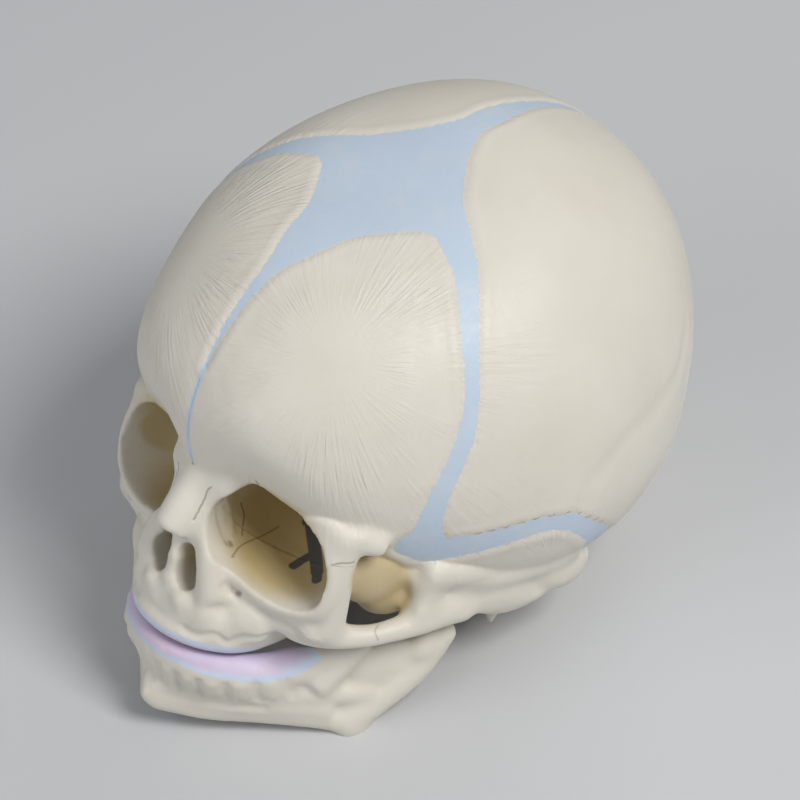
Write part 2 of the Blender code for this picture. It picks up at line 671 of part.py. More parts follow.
def cell(prisms, shrink):
    """Union of prisms given in shares of the face box, all shrunk by a margin."""
    solid = None
    for axis, outline, span in prisms:
        along = "XYZ".index(axis)
        spots = []
        for pair in outline:
            parts = list(pair)
            parts.insert(along, span[0])
            spots.append(list(face_point(*parts)))
        ends = [spots[0][along]]
        parts = list(outline[0])
        parts.insert(along, span[1])
        ends.append(face_point(*parts)[along])
        pairs = [spot[:along] + spot[along + 1:] for spot in spots]
        prism = slab(pairs, axis, min(ends), max(ends), shrink)
        if solid:
            combined(solid, prism, "UNION")
            dropped(prism)
        else:
            solid = prism
    return solid


def islands(thing):
    """Loose parts of an object as objects of their own, the largest first. The object is removed."""
    form = bmesh.new()
    form.from_mesh(thing.data)
    dropped(thing)
    left = set(form.verts)
    groups = []
    while left:
        front = [left.pop()]
        group = set(front)
        while front:
            for edge in front.pop().link_edges:
                for corner in edge.verts:
                    if corner in left:
                        left.discard(corner)
                        group.add(corner)
                        front.append(corner)
        groups.append({corner.index for corner in group})
    made = []
    for group in sorted(groups, key=len, reverse=True):
        part = form.copy()
        part.verts.index_update()
        others = [v for v in part.verts if v.index not in group]
        bmesh.ops.delete(part, geom=others, context="VERTS")
        made.append(object_from(part, "island"))
    form.free()
    return made


def nearest_island(parts, spot):
    """The loose part with a corner nearest a spot, taken out of the list."""
    best = min(parts, key=lambda part: min((v.co - spot).length for v in part.data.vertices))
    parts.remove(best)
    return best


def doubled(thing):
    """Whole piece from its left half: the wall on the midline is taken out and the rest mirrored onto it."""
    form = bmesh.new()
    form.from_mesh(thing.data)
    dropped(thing)
    wall = [face for face in form.faces if all(abs(corner.co.x) < MIDLINE_SNAP for corner in face.verts)]
    bmesh.ops.delete(form, geom=wall, context="FACES")
    for corner in form.verts:
        if abs(corner.co.x) < MIDLINE_SNAP:
            corner.co.x = 0
    everything = form.verts[:] + form.edges[:] + form.faces[:]
    bmesh.ops.mirror(form, geom=everything, axis="X", merge_dist=MIDLINE_SNAP)
    return object_from(form, "whole")


def nose_form(growth):
    """Pear-shaped opening of the nose, narrowing as it runs back."""
    top = face_point(*NOSE_TOP_SHARES)
    rings = []
    for depth_share, size_share in NOSE_RING_SHARES:
        half = [
            top + Vector((
                across * (NOSE_HALF_WIDTH + growth) * size_share,
                depth_share * NOSE_DEPTH,
                growth - down * (NOSE_HEIGHT + 2 * growth) * (1 + size_share) / 2,
            ))
            for across, down in NOSE_OUTLINE_SHARES
        ]
        rings.append(half + [Vector((-p.x, p.y, p.z)) for p in reversed(half[1:-1])])
    return lofted(rings, "nose")


def ear_ring(growth):
    """Open ring of the ear drum under the temporal bone."""
    centre = base_point(*EAR_CENTRE_SHARES)
    place = Matrix.Translation(centre) @ Matrix.Rotation(math.radians(EAR_TILT), 4, "Y")
    points = []
    for step in range(EAR_RING_STEPS + 1):
        angle = math.radians(EAR_RING_START + EAR_RING_SWEEP * step / EAR_RING_STEPS)
        spot = Vector((0, math.cos(angle), math.sin(angle))) * EAR_RING_RADIUS
        points.append(place @ spot)
    return limb(points, [EAR_RING_WIRE + growth] * len(points), steps=2)


def turned_rod(centre, radius, half_length):
    """Round bar along X."""
    form = bmesh.new()
    bmesh.ops.create_cone(
        form, cap_ends=True, segments=BAR_SEGMENTS, radius1=radius, radius2=radius, depth=2 * half_length,
    )
    place = Matrix.Translation(centre) @ Matrix.Rotation(math.radians(QUARTER_TURN), 4, "Y")
    bmesh.ops.transform(form, matrix=place, verts=form.verts)
    return object_from(form, "bar")


def stance():
    """Turn and lift that set the upright skull down on its jaw angles and the back of its head."""
    return Matrix.Translation((0, 0, STANCE_HEIGHT)) @ Matrix.Rotation(math.radians(-STANCE_PITCH), 4, "X")


def table_block():
    """Everything under the table top, in the upright frame."""
    under = block(Vector((-REACH, -REACH, -REACH)), Vector((REACH, REACH, 0)))
    under.data.transform(stance().inverted())
    return under


def gum_path(rows, place):
    """Smooth line of a gum pad from right to left."""
    points = [place(*row) for row in rows]
    return [Vector((-p.x, p.y, p.z)) for p in reversed(points[1:])] + points


def gum(rows, place, growth):
    """Rounded pad along the edge of a jaw."""
    path = gum_path(rows, place)
    ends = [GUM_END_SHARE * GUM_RADIUS + growth]
    radii = ends + [GUM_RADIUS + growth] * (len(path) - 2) + ends
    return limb(path, radii, steps=3)


def cut_all(thing, tools, solver="EXACT"):
    """Subtracts tools from an object and removes them."""
    for tool in tools:
        combined(thing, tool, "DIFFERENCE", solver)
        dropped(tool)
    return thing


def cranium():
    """Solid of the whole cranium with its openings, before it is sawn into bones."""
    skull = vault(0, VAULT_SEGMENTS, VAULT_RINGS)
    cut_all(skull, [vault(BONE_THICKNESS, HOLLOW_SEGMENTS, HOLLOW_RINGS)])
    core = face_and_base()
    combined(skull, core, "UNION", FUSED_SOLVER)
    dropped(core)
    return skull


def styloid():
    """Pointed process under the ear."""
    top = base_point(*STYLOID_SHARES)
    lean = Vector(STYLOID_LEAN).normalized()
    points = [top + lean * STYLOID_LENGTH * along for along, _ in STYLOID_TAPER_SHARES]
    return limb(points, [STYLOID_RADIUS * width for _, width in STYLOID_TAPER_SHARES], steps=2)


def side_block(start):
    """Everything to the left of a distance from the midline."""
    return block(Vector((start, -REACH, -REACH)), Vector((REACH, REACH, REACH)))


def kept_left(thing, start):
    """Keeps what lies to the left of a distance from the midline."""
    side = side_block(start)
    combined(thing, side, "INTERSECT", FUSED_SOLVER)
    dropped(side)
    return thing


def hinge_rod(radius, extra):
    """Round bar along the seat of the left hinge pin, longer than the pin by an extra at each end."""
    middle = HINGE_CENTRE + Vector((HINGE_HALF_SPACING - PIN_LENGTH / 2, 0, 0))
    return turned_rod(middle, radius, PIN_LENGTH / 2 + extra)


def openings():
    """Tools for the left side's openings and seats."""
    condyle = HINGE_CENTRE + Vector((HINGE_HALF_SPACING, 0, 0))
    return [
        orbit_form(0, ORBIT_FRONT_SHARE),
        nose_form(0),
        lofted([foramen_ring(0, -OVERRUN), foramen_ring(0, OVERRUN / 3)], "foramen"),
        turned_rod(condyle, CONDYLE_RADIUS + SOCKET_CLEARANCE, CONDYLE_HALF_WIDTH + SOCKET_CLEARANCE),
        hinge_rod(PIN_RADIUS + SEAM_GAP, SEAM_GAP),
        ear_ring(SEAM_GAP),
        gum(UPPER_GUM_SHARES, face_point, SEAM_GAP),
        table_block(),
    ]


def largest(thing):
    """Keeps the largest loose part of an object and drops the crumbs."""
    parts = islands(thing)
    dropped(*parts[1:])
    return parts[0]


def sawn_bones(skull):
    """Saws the left half of the cranium into its bones and returns them by name.

    The parietal bone comes off as a loose part, the others are sawn out cell by cell.
    """
    cut_all(skull, list(seam_tools(0).values()), FUSED_SOLVER)
    parts = islands(skull)
    bones = {"parietal_bone_left": nearest_island(parts, vault_point(heading(*PARIETAL_MIDDLE)))}
    rest = joined(parts, "rest")
    for name, prisms in BONE_CELL_SHARES:
        bone = copy_of(rest, name)
        inner, outer = cell(prisms, SEAM_GAP), cell(prisms, 0)
        combined(bone, inner, "INTERSECT", FUSED_SOLVER)
        combined(rest, outer, "DIFFERENCE", FUSED_SOLVER)
        dropped(inner, outer)
        bones[name] = bone
    bones["frontal_bone_left"] = rest
    return {
        name: largest(bone if name in MIDLINE_BONES else kept_left(bone, SEAM_GAP / 2))
        for name, bone in bones.items()
    }


def soft_seams():
    """Soft seams by name: slices of a thin shell inside the wedges that part the bones."""
    shell = vault(SEAM_RECESS, VAULT_SEGMENTS, VAULT_RINGS)
    cut_all(shell, [vault(SEAM_RECESS + SEAM_THICKNESS, VAULT_SEGMENTS, VAULT_RINGS)])
    made = {}
    taken = []
    wide = seam_tools(0)
    for name, tool in seam_tools(SEAM_GAP).items():
        piece = copy_of(shell, name)
        combined(piece, tool, "INTERSECT", FUSED_SOLVER)
        dropped(tool)
        for earlier in taken:
            combined(piece, wide[earlier], "DIFFERENCE", FUSED_SOLVER)
        made[name] = largest(piece)
        if "fontanelle" in name:
            taken.append(name)
    dropped(shell, *wide.values())
    return made


def vomer():
    """Thin upright plate in the middle of the nose."""
    plate = nose_form(-SEAM_GAP)
    half = SEPTUM_THICKNESS / 2
    front = face_point(*SEPTUM_FRONT_SHARES).y
    slice_block = block(Vector((-half, front, -FACE_FRONT)), Vector((half, 0, 0)))
    combined(plate, slice_block, "INTERSECT")
    dropped(slice_block)
    return plate


def lower_jaw():
    """Fused solid of the lower jaw with its gum seat and pin bores."""
    web_place, web_radii = JAW_WEB_SHARES
    condyle = HINGE_CENTRE + Vector((HINGE_HALF_SPACING, 0, 0))
    forms = rods(JAW_ROD_SHARES, jaw_point, JAW_DROP)
    forms += balls(JAW_BALL_SHARES, jaw_point, JAW_DROP)
    forms.append(ball(jaw_point(*web_place), [share * JAW_DROP for share in web_radii], JAW_WEB_TURN))
    forms.append(ball(condyle, (CONDYLE_HALF_WIDTH, CONDYLE_RADIUS, CONDYLE_RADIUS)))
    jaw = fused(with_mirrors(forms), "jaw", JAW_KEEP_SHARE, SMOOTHING_PASSES)
    return cut_all(jaw, [
        gum(LOWER_GUM_SHARES, jaw_point, SEAM_GAP),
        hinge_rod(PIN_RADIUS + PIN_CLEARANCE, SEAM_GAP),
        table_block(),
    ])


def jaw_pieces():
    """Left half of the lower jaw and the soft joint at the chin."""
    left = lower_jaw()
    middle = copy_of(left, "middle")
    low = Vector((-SYMPHYSIS_HALF_WIDTH, -REACH, -REACH))
    strip = block(low, Vector((SYMPHYSIS_HALF_WIDTH, REACH, REACH)))
    combined(middle, strip, "INTERSECT")
    dropped(strip)
    kept_left(left, SYMPHYSIS_HALF_WIDTH + SEAM_GAP)
    return {"mandible_left": largest(left), "mandibular_symphysis": largest(middle)}


def thinned(thing):
    """Merges nearly flat neighbours into larger faces, if the piece stays closed."""
    form = bmesh.new()
    form.from_mesh(thing.data)
    bmesh.ops.dissolve_limit(
        form, angle_limit=math.radians(FLATNESS), verts=form.verts, edges=form.edges,
    )
    bmesh.ops.triangulate(form, faces=form.faces)
    if not all(edge.is_manifold for edge in form.edges):
        form.clear()
        form.from_mesh(thing.data)
    dropped(thing)
    return object_from(form, "thinned")


def all_pieces():
    """Every piece of the model by name, in the upright frame."""
    skull = kept_left(cranium(), 0)
    process = styloid()
    combined(skull, process, "UNION", FUSED_SOLVER)
    dropped(process)
    bones = sawn_bones(cut_all(skull, openings(), FUSED_SOLVER))
    for name in MIDLINE_BONES:
        bones[name] = doubled(thinned(bones[name]))
    pieces = dict(bones)
    pieces.update(soft_seams())
    pieces.update(jaw_pieces())
    pieces["tympanic_ring_left"] = ear_ring(0)
    pieces["jaw_pin_left"] = hinge_rod(PIN_RADIUS, 0)
    pieces["vomer"] = vomer()
    pieces["upper_gum"] = gum(UPPER_GUM_SHARES, face_point, 0)
    pieces["lower_gum"] = gum(LOWER_GUM_SHARES, jaw_point, 0)
    for name in list(pieces):
        if name.endswith("_left"):
            pieces[name.replace("_left", "_right")] = mirror_of(pieces[name], name)
    return pieces


def look_of(name):
    """Material row for a piece."""
    if "gum" in name:
        return GUM
    if "pin" in name:
        return STEEL
    soft = any(word in name for word in ("fontanelle", "seam", "symphysis"))
    return SEAM if soft else BONE


def material_from(row):
    """Principled material from a slot name, colour, roughness and metal share."""
    slot, colour, roughness, metallic = row
    made = bpy.data.materials.get(slot) or bpy.data.materials.new(slot)
    made.use_nodes = True
    surface = made.node_tree.nodes["Principled BSDF"]
    surface.inputs["Base Color"].default_value = (*colour, 1)
    surface.inputs["Roughness"].default_value = roughness
    surface.inputs["Metallic"].default_value = metallic
    return made


def set_down(pieces):
    """Moves the pieces from the upright frame to the standing pose, centred over the origin."""
    turn = stance()
    for piece in pieces.values():
        piece.data.transform(turn)
    rows = [corner.co.y for piece in pieces.values() for corner in piece.data.vertices]
    slide = Matrix.Translation((0, -(min(rows) + max(rows)) / 2, 0))
    for piece in pieces.values():
        piece.data.transform(slide)
    return slide @ turn @ HINGE_CENTRE


def clear_scene():
    """Removes the startup objects."""
    for thing in list(bpy.data.objects):
        bpy.data.objects.remove(thing)


def main():
    """Builds the model and names its nodes."""
    clear_scene()
    workshop = collection_named("workshop")
    workshop.hide_render = True
    shown = collection_named("skull_model")
    pieces = {name: thinned(piece) for name, piece in all_pieces().items()}
    hinge = set_down(pieces)
    for name, piece in pieces.items():
        piece.name = piece.data.name = name
        piece.data.materials.clear()
        piece.data.materials.append(material_from(look_of(name)))
        piece.data.shade_smooth()
        piece.data.set_sharp_from_angle(angle=math.radians(SHARP_ANGLE))
        workshop.objects.unlink(piece)
        shown.objects.link(piece)
        if name.startswith("mandib") or name == "lower_gum":
            piece.data.transform(Matrix.Translation(-hinge))
            piece.location = hinge


if __name__ == "__main__":
    main()
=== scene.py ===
"""Looks of the newborn skull model: fine bones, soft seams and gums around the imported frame."""

import json
import logging
import math
from dataclasses import dataclass, field, replace
from enum import Enum

import bmesh
import bpy
import numpy as np
from mathutils import Matrix, Vector
from mathutils.bvhtree import BVHTree
from mathutils.kdtree import KDTree


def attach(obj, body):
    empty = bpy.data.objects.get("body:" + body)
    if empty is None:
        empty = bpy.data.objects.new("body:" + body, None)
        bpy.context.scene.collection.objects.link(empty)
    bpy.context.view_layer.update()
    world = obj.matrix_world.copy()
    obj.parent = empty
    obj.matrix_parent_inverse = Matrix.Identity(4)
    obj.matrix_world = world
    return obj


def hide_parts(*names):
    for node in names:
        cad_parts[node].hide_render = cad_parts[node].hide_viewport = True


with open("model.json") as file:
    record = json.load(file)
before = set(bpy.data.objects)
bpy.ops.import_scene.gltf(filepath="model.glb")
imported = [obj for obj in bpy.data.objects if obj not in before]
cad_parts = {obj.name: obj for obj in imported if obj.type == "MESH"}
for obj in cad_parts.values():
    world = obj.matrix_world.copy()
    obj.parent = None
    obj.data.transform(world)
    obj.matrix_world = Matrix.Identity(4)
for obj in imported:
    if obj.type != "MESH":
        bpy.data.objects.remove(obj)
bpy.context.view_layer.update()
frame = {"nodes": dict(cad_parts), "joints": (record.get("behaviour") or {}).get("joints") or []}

log = logging.getLogger("skull")
Thing = bpy.types.Object
Socket = bpy.types.NodeSocket
Point = tuple[float, float, float]
Rod = tuple[tuple[float, float, float, float], ...]

# The bones are modelled upright and in millimetres, and set down on the table at the end
MILLIMETRE = 0.001
HINGE: Point = (0, -8, -36.5)
STANCE_PITCH = 22.8
SKIN_STEP = 0.5
SHARP_ANGLE = 50
REACH = 200
PLAY = 0.3

# Fineness of the working forms
BALL_SUBDIVISIONS = 4
BAR_SEGMENTS = 48
WELD_PARTS = 100
SMOOTHING = 0.5
CURVE_PARTS = 24
STRAIGHT_PARTS = 40

# Teeth of the seams: size, pitch and share of the phase of each wave
TOOTH_WAVES = ((0.5, 3.1, 1), (0.35, 5.7, 2.3), (0.3, 1.3, 1))

# How far a stroke or a thin mark may lie off the skin that it is worked into, and how marks are refined
STROKE_SNAP = 3
MARK_SNAP = 0.9
WIDE_FRINGE = 3
THIN_FRINGE = 1.6
REFINED_MARGIN = 0.4
REFINED_ROUNDS = 2
BLEND_LEVELS = 8
BLEND_GAIN = 1.4


class Body(Enum):
    """Moving bodies of the frame."""

    CRANIUM = "cranium"
    JAW = "mandible"


class Slot(Enum):
    """Material slots of the record."""

    BONE = "bone"
    SEAM = "soft_seam"
    GUM = "gum"
    STEEL = "pin_steel"


def workshop() -> bpy.types.Collection:
    """Collection of the working meshes."""
    made = bpy.data.collections.get("workshop")
    if made is None:
        made = bpy.data.collections.new("workshop")
        bpy.context.scene.collection.children.link(made)
    return made


def made_from(form: bmesh.types.BMesh, name: str, recalculated: bool = True) -> Thing:
    """Working object that takes a bmesh.

    Args:
        form: The bmesh, which is freed.
        name: Name of the object.
        recalculated: Whether its faces are turned outwards first.

    Returns:
        The object.
    """
    if recalculated:
        bmesh.ops.recalc_face_normals(form, faces=form.faces)
    mesh = bpy.data.meshes.new(name)
    form.to_mesh(mesh)
    form.free()
    made = bpy.data.objects.new(name, mesh)
    workshop().objects.link(made)
    return made


def dropped(*things: Thing) -> None:
    """Removes working objects."""
    for thing in things:
        bpy.data.objects.remove(thing)


def baked(thing: Thing) -> Thing:
    """Replaces an object's mesh by its evaluated one and drops its modifiers."""
    graph = bpy.context.evaluated_depsgraph_get()
    mesh = bpy.data.meshes.new_from_object(thing.evaluated_get(graph))
    thing.modifiers.clear()
    thing.data = mesh
    return thing


def copy_of(thing: Thing, name: str) -> Thing:
    """Independent working copy of an object."""
    made = bpy.data.objects.new(name, thing.data.copy())
    workshop().objects.link(made)
    return made


def combined(thing: Thing, tool: Thing, operation: str, keep: bool = False) -> Thing:
    """Applies a Boolean of a tool to an object.

    Args:
        thing: The object that changes.
        tool: The other object, removed after use.
        operation: UNION, DIFFERENCE or INTERSECT.
        keep: Whether the tool stays.

    Returns:
        The changed object.
    """
    change = thing.modifiers.new("join", "BOOLEAN")
    change.operation = operation
    change.solver = "MANIFOLD"
    change.object = tool
    baked(thing)
    if not keep:
        dropped(tool)
    return thing


def ball(centre: Point, radii: Point, turn: float = 0) -> Thing:
    """Ellipsoid turned about the vertical by an angle in degrees."""
    form = bmesh.new()
    bmesh.ops.create_icosphere(form, subdivisions=BALL_SUBDIVISIONS, radius=1)
    place = Matrix.Translation(centre) @ Matrix.Rotation(math.radians(turn), 4, "Z")
    bmesh.ops.transform(form, matrix=place @ Matrix.Diagonal((*radii, 1)), verts=form.verts)
    return made_from(form, "ball")


def bar(centre: Point, radius: float, length: float) -> Thing:
    """Round bar along X."""
    form = bmesh.new()
    bmesh.ops.create_cone(form, cap_ends=True, segments=BAR_SEGMENTS, radius1=radius, radius2=radius, depth=length)
    place = Matrix.Translation(centre) @ Matrix.Rotation(math.radians(90), 4, "Y")
    bmesh.ops.transform(form, matrix=place, verts=form.verts)
    return made_from(form, "bar")


def block(low: Point, high: Point) -> Thing:
    """Box between two corners."""
    form = bmesh.new()
    bmesh.ops.create_cube(form, size=1)
    low_corner, high_corner = Vector(low), Vector(high)
    place = Matrix.Translation((low_corner + high_corner) / 2)
    bmesh.ops.transform(form, matrix=place @ Matrix.Diagonal((*(high_corner - low_corner), 1)), verts=form.verts)
    return made_from(form, "block")


def rod(rows: Rod, closed: bool = False, steps: int = 8, sides: int = 4) -> Thing:
    """Tapering rod along a smooth line.

    Args:
        rows: Places and radii along the line.
        closed: Whether the line is a ring.
        steps: Segments between two places.
        sides: Roundness of the section.

    Returns:
        The rod as a closed mesh.
    """
    curve = bpy.data.curves.new("rod", "CURVE")
    curve.dimensions = "3D"
    curve.bevel_depth = 1
    curve.bevel_resolution = sides
    curve.use_fill_caps = True
    spline = curve.splines.new("NURBS")
    spline.points.add(len(rows) - 1)
    for knot, row in zip(spline.points, rows):
        knot.co = (*row[:3], 1)
        knot.radius = row[3]
    spline.order_u = 3
    spline.resolution_u = steps
    spline.use_endpoint_u = not closed
    spline.use_cyclic_u = closed
    guide = bpy.data.objects.new("rod", curve)
    workshop().objects.link(guide)
    graph = bpy.context.evaluated_depsgraph_get()
    mesh = bpy.data.meshes.new_from_object(guide.evaluated_get(graph))
    dropped(guide)
    form = bmesh.new()
    form.from_mesh(mesh)
    bmesh.ops.remove_doubles(form, verts=form.verts, dist=min(row[3] for row in rows) / WELD_PARTS)
    return made_from(form, "rod")


def loft(rings: list[list[Vector]], name: str) -> Thing:
    """Solid through a row of closed rings with as many points each, capped at both ends."""
    form = bmesh.new()
    loops = []
    for ring in rings:
        corners = [form.verts.new(point) for point in ring]
        loops.append([form.edges.new(pair) for pair in zip(corners, corners[1:] + corners[:1])])
    for first, second in zip(loops, loops[1:]):
        bmesh.ops.bridge_loops(form, edges=first + second)
    for loop in (loops[0], loops[-1]):
        bmesh.ops.holes_fill(form, edges=loop, sides=0)
    bmesh.ops.triangulate(form, faces=form.faces)
    return made_from(form, name)


def prism(axis: str, outline: tuple[tuple[float, float], ...], low: float, high: float) -> Thing:
    """Prism of an outline along X, Y or Z. The outline holds the other two coordinates in order."""
    rings = []
    for along in (low, high):
        ring = [list(pair) for pair in outline]
        for spot in ring:
            spot.insert("XYZ".index(axis), along)
        rings.append([Vector(spot) for spot in ring])
    return loft(rings, "prism")


def joined(things: list[Thing], name: str) -> Thing:
    """One object from several working objects, which are removed."""
    form = bmesh.new()
    for thing in things:
        form.from_mesh(thing.data)
    dropped(*things)
    return made_from(form, name, recalculated=False)


def mirror_of(thing: Thing, name: str) -> Thing:
    """Mirror image of an object across the midline."""
    form = bmesh.new()
    form.from_mesh(thing.data)
    bmesh.ops.scale(form, vec=(-1, 1, 1), verts=form.verts)
    bmesh.ops.reverse_faces(form, faces=form.faces)
    return made_from(form, name, recalculated=False)


def with_mirrors(things: list[Thing]) -> list[Thing]:
    """The objects followed by their mirror images."""
    return things + [mirror_of(thing, thing.name) for thing in things]


def made_whole(half: Thing) -> Thing:
    """Both sides of a piece from its left half, whose open end lies on the midline."""
    form = bmesh.new()
    form.from_mesh(half.data)
    near = 0.001
    wall = [face for face in form.faces if all(abs(corner.co.x) < near for corner in face.verts)]
    bmesh.ops.delete(form, geom=wall, context="FACES")
    for corner in form.verts:
        if abs(corner.co.x) < near:
            corner.co.x = 0
    everything = form.verts[:] + form.edges[:] + form.faces[:]
    bmesh.ops.mirror(form, geom=everything, axis="X", merge_dist=near / 2)
    name = half.name
    dropped(half)
    return made_from(form, name)


def skinned(thing: Thing, step: float, passes: int) -> Thing:
    """Turns overlapping forms into one even skin and smooths it.

    Args:
        thing: Object made of closed forms.
        step: Size of the skin's faces.
        passes: Rounds of smoothing.

    Returns:
        The changed object.
    """
    remesh = thing.modifiers.new("skin", "REMESH")
    remesh.mode = "VOXEL"
    remesh.voxel_size = step
    smooth = thing.modifiers.new("smooth", "SMOOTH")
    smooth.factor = SMOOTHING
    smooth.iterations = passes
    return baked(thing)


def loose_parts(thing: Thing) -> list[Thing]:
    """Loose parts of an object, the largest first."""
    bpy.ops.object.select_all(action="DESELECT")
    thing.select_set(True)
    bpy.context.view_layer.objects.active = thing
    bpy.ops.mesh.separate(type="LOOSE")
    parts = [part for part in bpy.context.selected_objects if part.type == "MESH"]
    return sorted(parts, key=lambda part: len(part.data.vertices), reverse=True)


def largest(thing: Thing) -> Thing:
    """Keeps the largest loose part of an object and drops the crumbs."""
    name = thing.name
    parts = loose_parts(thing)
    dropped(*parts[1:])
    parts[0].name = name
    return parts[0]


def corners_of(thing: Thing) -> np.ndarray:
    """Corners of an object's mesh, one row each."""
    rows = np.empty(len(thing.data.vertices) * 3, np.float32)
    thing.data.vertices.foreach_get("co", rows)
    return rows.reshape(-1, 3).astype(float)


def normals_of(thing: Thing) -> np.ndarray:
    """Corner normals of an object's mesh, one row each."""
    rows = np.empty(len(thing.data.vertices) * 3, np.float32)
    thing.data.vertex_normals.foreach_get("vector", rows)
    return rows.reshape(-1, 3).astype(float)


def move_corners(thing: Thing, rows: np.ndarray) -> None:
    """Puts an object's corners at new places."""
    thing.data.vertices.foreach_set("co", rows.astype(np.float32).ravel())
    thing.data.update()


def smooth_line(rows: np.ndarray, step: float, closed: bool = False) -> np.ndarray:
    """Even points on a smooth curve through given ones.

    Args:
        rows: Points, with any further values that go along with them.
        step: Distance between the new points.
        closed: Whether the line is a ring.

    Returns:
        The new points, with their further values.
    """
    rows = np.asarray(rows, float)
    if closed:
        rows = np.vstack([rows[-1], rows, rows[:2]])
    else:
        rows = np.vstack([2 * rows[0] - rows[1], rows, 2 * rows[-1] - rows[-2]])
    share = np.linspace(0, 1, CURVE_PARTS, endpoint=False)[:, None]
    fine = []
    for before, first, second, after in zip(rows, rows[1:], rows[2:], rows[3:]):
        fine.append(0.5 * (
            2 * first + (second - before) * share
            + (2 * before - 5 * first + 4 * second - after) * share ** 2
            + (3 * first - before - 3 * second + after) * share ** 3
        ))
    fine.append(rows[-2][None])
    fine = np.vstack(fine)
    along = np.concatenate([[0], np.cumsum(np.linalg.norm(np.diff(fine[:, :3], axis=0), axis=1))])
    count = max(int(round(along[-1] / step)), 3)
    places = np.linspace(0, along[-1], count + 1)
    if closed:
        places = places[:-1]
    return np.stack([np.interp(places, along, column) for column in fine.T], axis=1)


def distances(spots: np.ndarray, line: np.ndarray, reach: float) -> np.ndarray:
    """Distance of each spot to the nearest point of a line, or infinity past a reach."""
    found = np.full(len(spots), np.inf)
    low, high = line.min(axis=0) - reach, line.max(axis=0) + reach
    near = np.flatnonzero(((spots > low) & (spots < high)).all(axis=1))
    if not len(near):
        return found
    tree = KDTree(len(line))
    for index, point in enumerate(line):
        tree.insert(point, index)
    tree.balance()
    found[near] = [tree.find(spots[index])[2] for index in near]
    return found


def directions(angles: list[tuple[float, float]]) -> np.ndarray:
    """Unit vectors from angles in degrees: the first runs from the forehead to the left ear, the second up."""
    turn, lift = np.radians(np.asarray(angles, float)).T
    return np.stack([np.cos(lift) * np.sin(turn), -np.cos(lift) * np.cos(turn), np.sin(lift)], axis=1)


def wobble(along: np.ndarray, size: float, phase: float) -> np.ndarray:
    """Small uneven teeth along a line."""
    return size * sum(share * np.sin(along * pitch + turn * phase) for share, pitch, turn in TOOTH_WAVES)


def eased(share: np.ndarray) -> np.ndarray:
    """Share held between 0 and 1 that starts and ends softly."""
    share = np.clip(share, 0, 1)
    return share * share * (3 - 2 * share)


@dataclass(frozen=True)
class Braincase:
    """Egg of the head, with its swellings and hollows."""

    half_width: float = 49.1
    front: float = 55.1
    back: float = 58.4
    rise: float = 52.6
    drop: float = 40.5
    roundness: float = 1.95
    height: float = 4.5
    wall: float = 2
    swellings: tuple = (
        ((0.45, 0.60, 0.66), 0.035, 20),
        ((0.80, -0.50, -0.12), -0.067, 20),
        ((0.00, 0.35, 0.94), 0.045, 24),
        ((0.00, -0.40, 0.92), -0.175, 22),
        ((0.00, 0.97, -0.10), -0.045, 26),
        ((0.00, 0.80, 0.60), 0.041, 24),
        ((0.90, 0.10, -0.30), 0.057, 22),
        ((0.35, -0.92, 0.00), 0.045, 14),
        ((0.30, -0.88, -0.36), -0.060, 9),
        ((0.228, -0.949, -0.216), -0.066, 7),
        ((0.00, 0.72, -0.70), 0.090, 26),
    )

    @property
    def centre(self) -> np.ndarray:
        """Point from which the skin is measured."""
        return np.array([0, 0, self.height])

    def radius(self, headings: np.ndarray) -> np.ndarray:
        """Distance from the centre to the skin along unit directions."""
        x, y, z = headings.T
        length = np.where(y < 0, self.front, self.back)
        rise = np.where(z > 0, self.rise, self.drop)
        total = sum(
            (np.abs(part) / span) ** self.roundness for part, span in ((x, self.half_width), (y, length), (z, rise))
        )
        found = total ** (-1 / self.roundness)
        folded = np.stack([np.abs(x), y, z], axis=1)
        for axis, share, spread in self.swellings:
            away = np.degrees(np.arccos(np.clip(folded @ (np.array(axis) / np.linalg.norm(axis)), -1, 1)))
            found = found + share * self.half_width * np.exp(-((away / spread) ** 2) / 2)
        return found

    def on_skin(self, headings: np.ndarray, depth: float = 0) -> np.ndarray:
        """Points on the skin along unit directions, or under it."""
        return self.centre + headings * (self.radius(headings) - depth)[:, None]

    def skin(self, depth: float, segments: int, rings: int) -> Thing:
        """Closed skin at a depth under the outer one."""
        form = bmesh.new()
        bmesh.ops.create_uvsphere(form, u_segments=segments, v_segments=rings, radius=1)
        made = made_from(form, "skin")
        rows = corners_of(made)
        rows /= np.linalg.norm(rows, axis=1)[:, None]
        move_corners(made, self.on_skin(rows, depth))
        return made

    def shell(self, depth: float, wall: float, segments: int, rings: int) -> Thing:
        """Hollow shell that starts at a depth under the skin."""
        return combined(
            self.skin(depth, segments, rings), self.skin(depth + wall, segments // 2, rings // 2), "DIFFERENCE",
        )

    def true_up(self, thing: Thing, near: float, far: float) -> None:
        """Puts corners that lie close to the outer skin back on it.

        Args:
            thing: The object whose corners move.
            near: Distance within which a corner is put on the skin.
            far: Distance from which a corner stays.
        """
        rows = corners_of(thing) - self.centre
        size = np.linalg.norm(rows, axis=1)
        headings = rows / size[:, None]
        off = size - self.radius(headings)
        keep = eased((np.abs(off) - near) / (far - near))
        move_corners(thing, self.centre + headings * (size - off * (1 - keep))[:, None])


BRAINCASE = Braincase()


def straight(path: tuple[Point, ...]) -> np.ndarray:
    """Close points on a straight line, or one point."""
    rows = np.array(path, float)
    if len(rows) < 2:
        return rows
    return rows[0] + np.linspace(0, 1, STRAIGHT_PARTS)[:, None] * (rows[1] - rows[0])


class Traced:
    """What is done to a surface along a path."""

    path: tuple[Point, ...]
    step = 0.2

    def line(self) -> np.ndarray:
        """Close points along the path."""
        return smooth_line(self.path, self.step) if len(self.path) > 2 else straight(self.path)


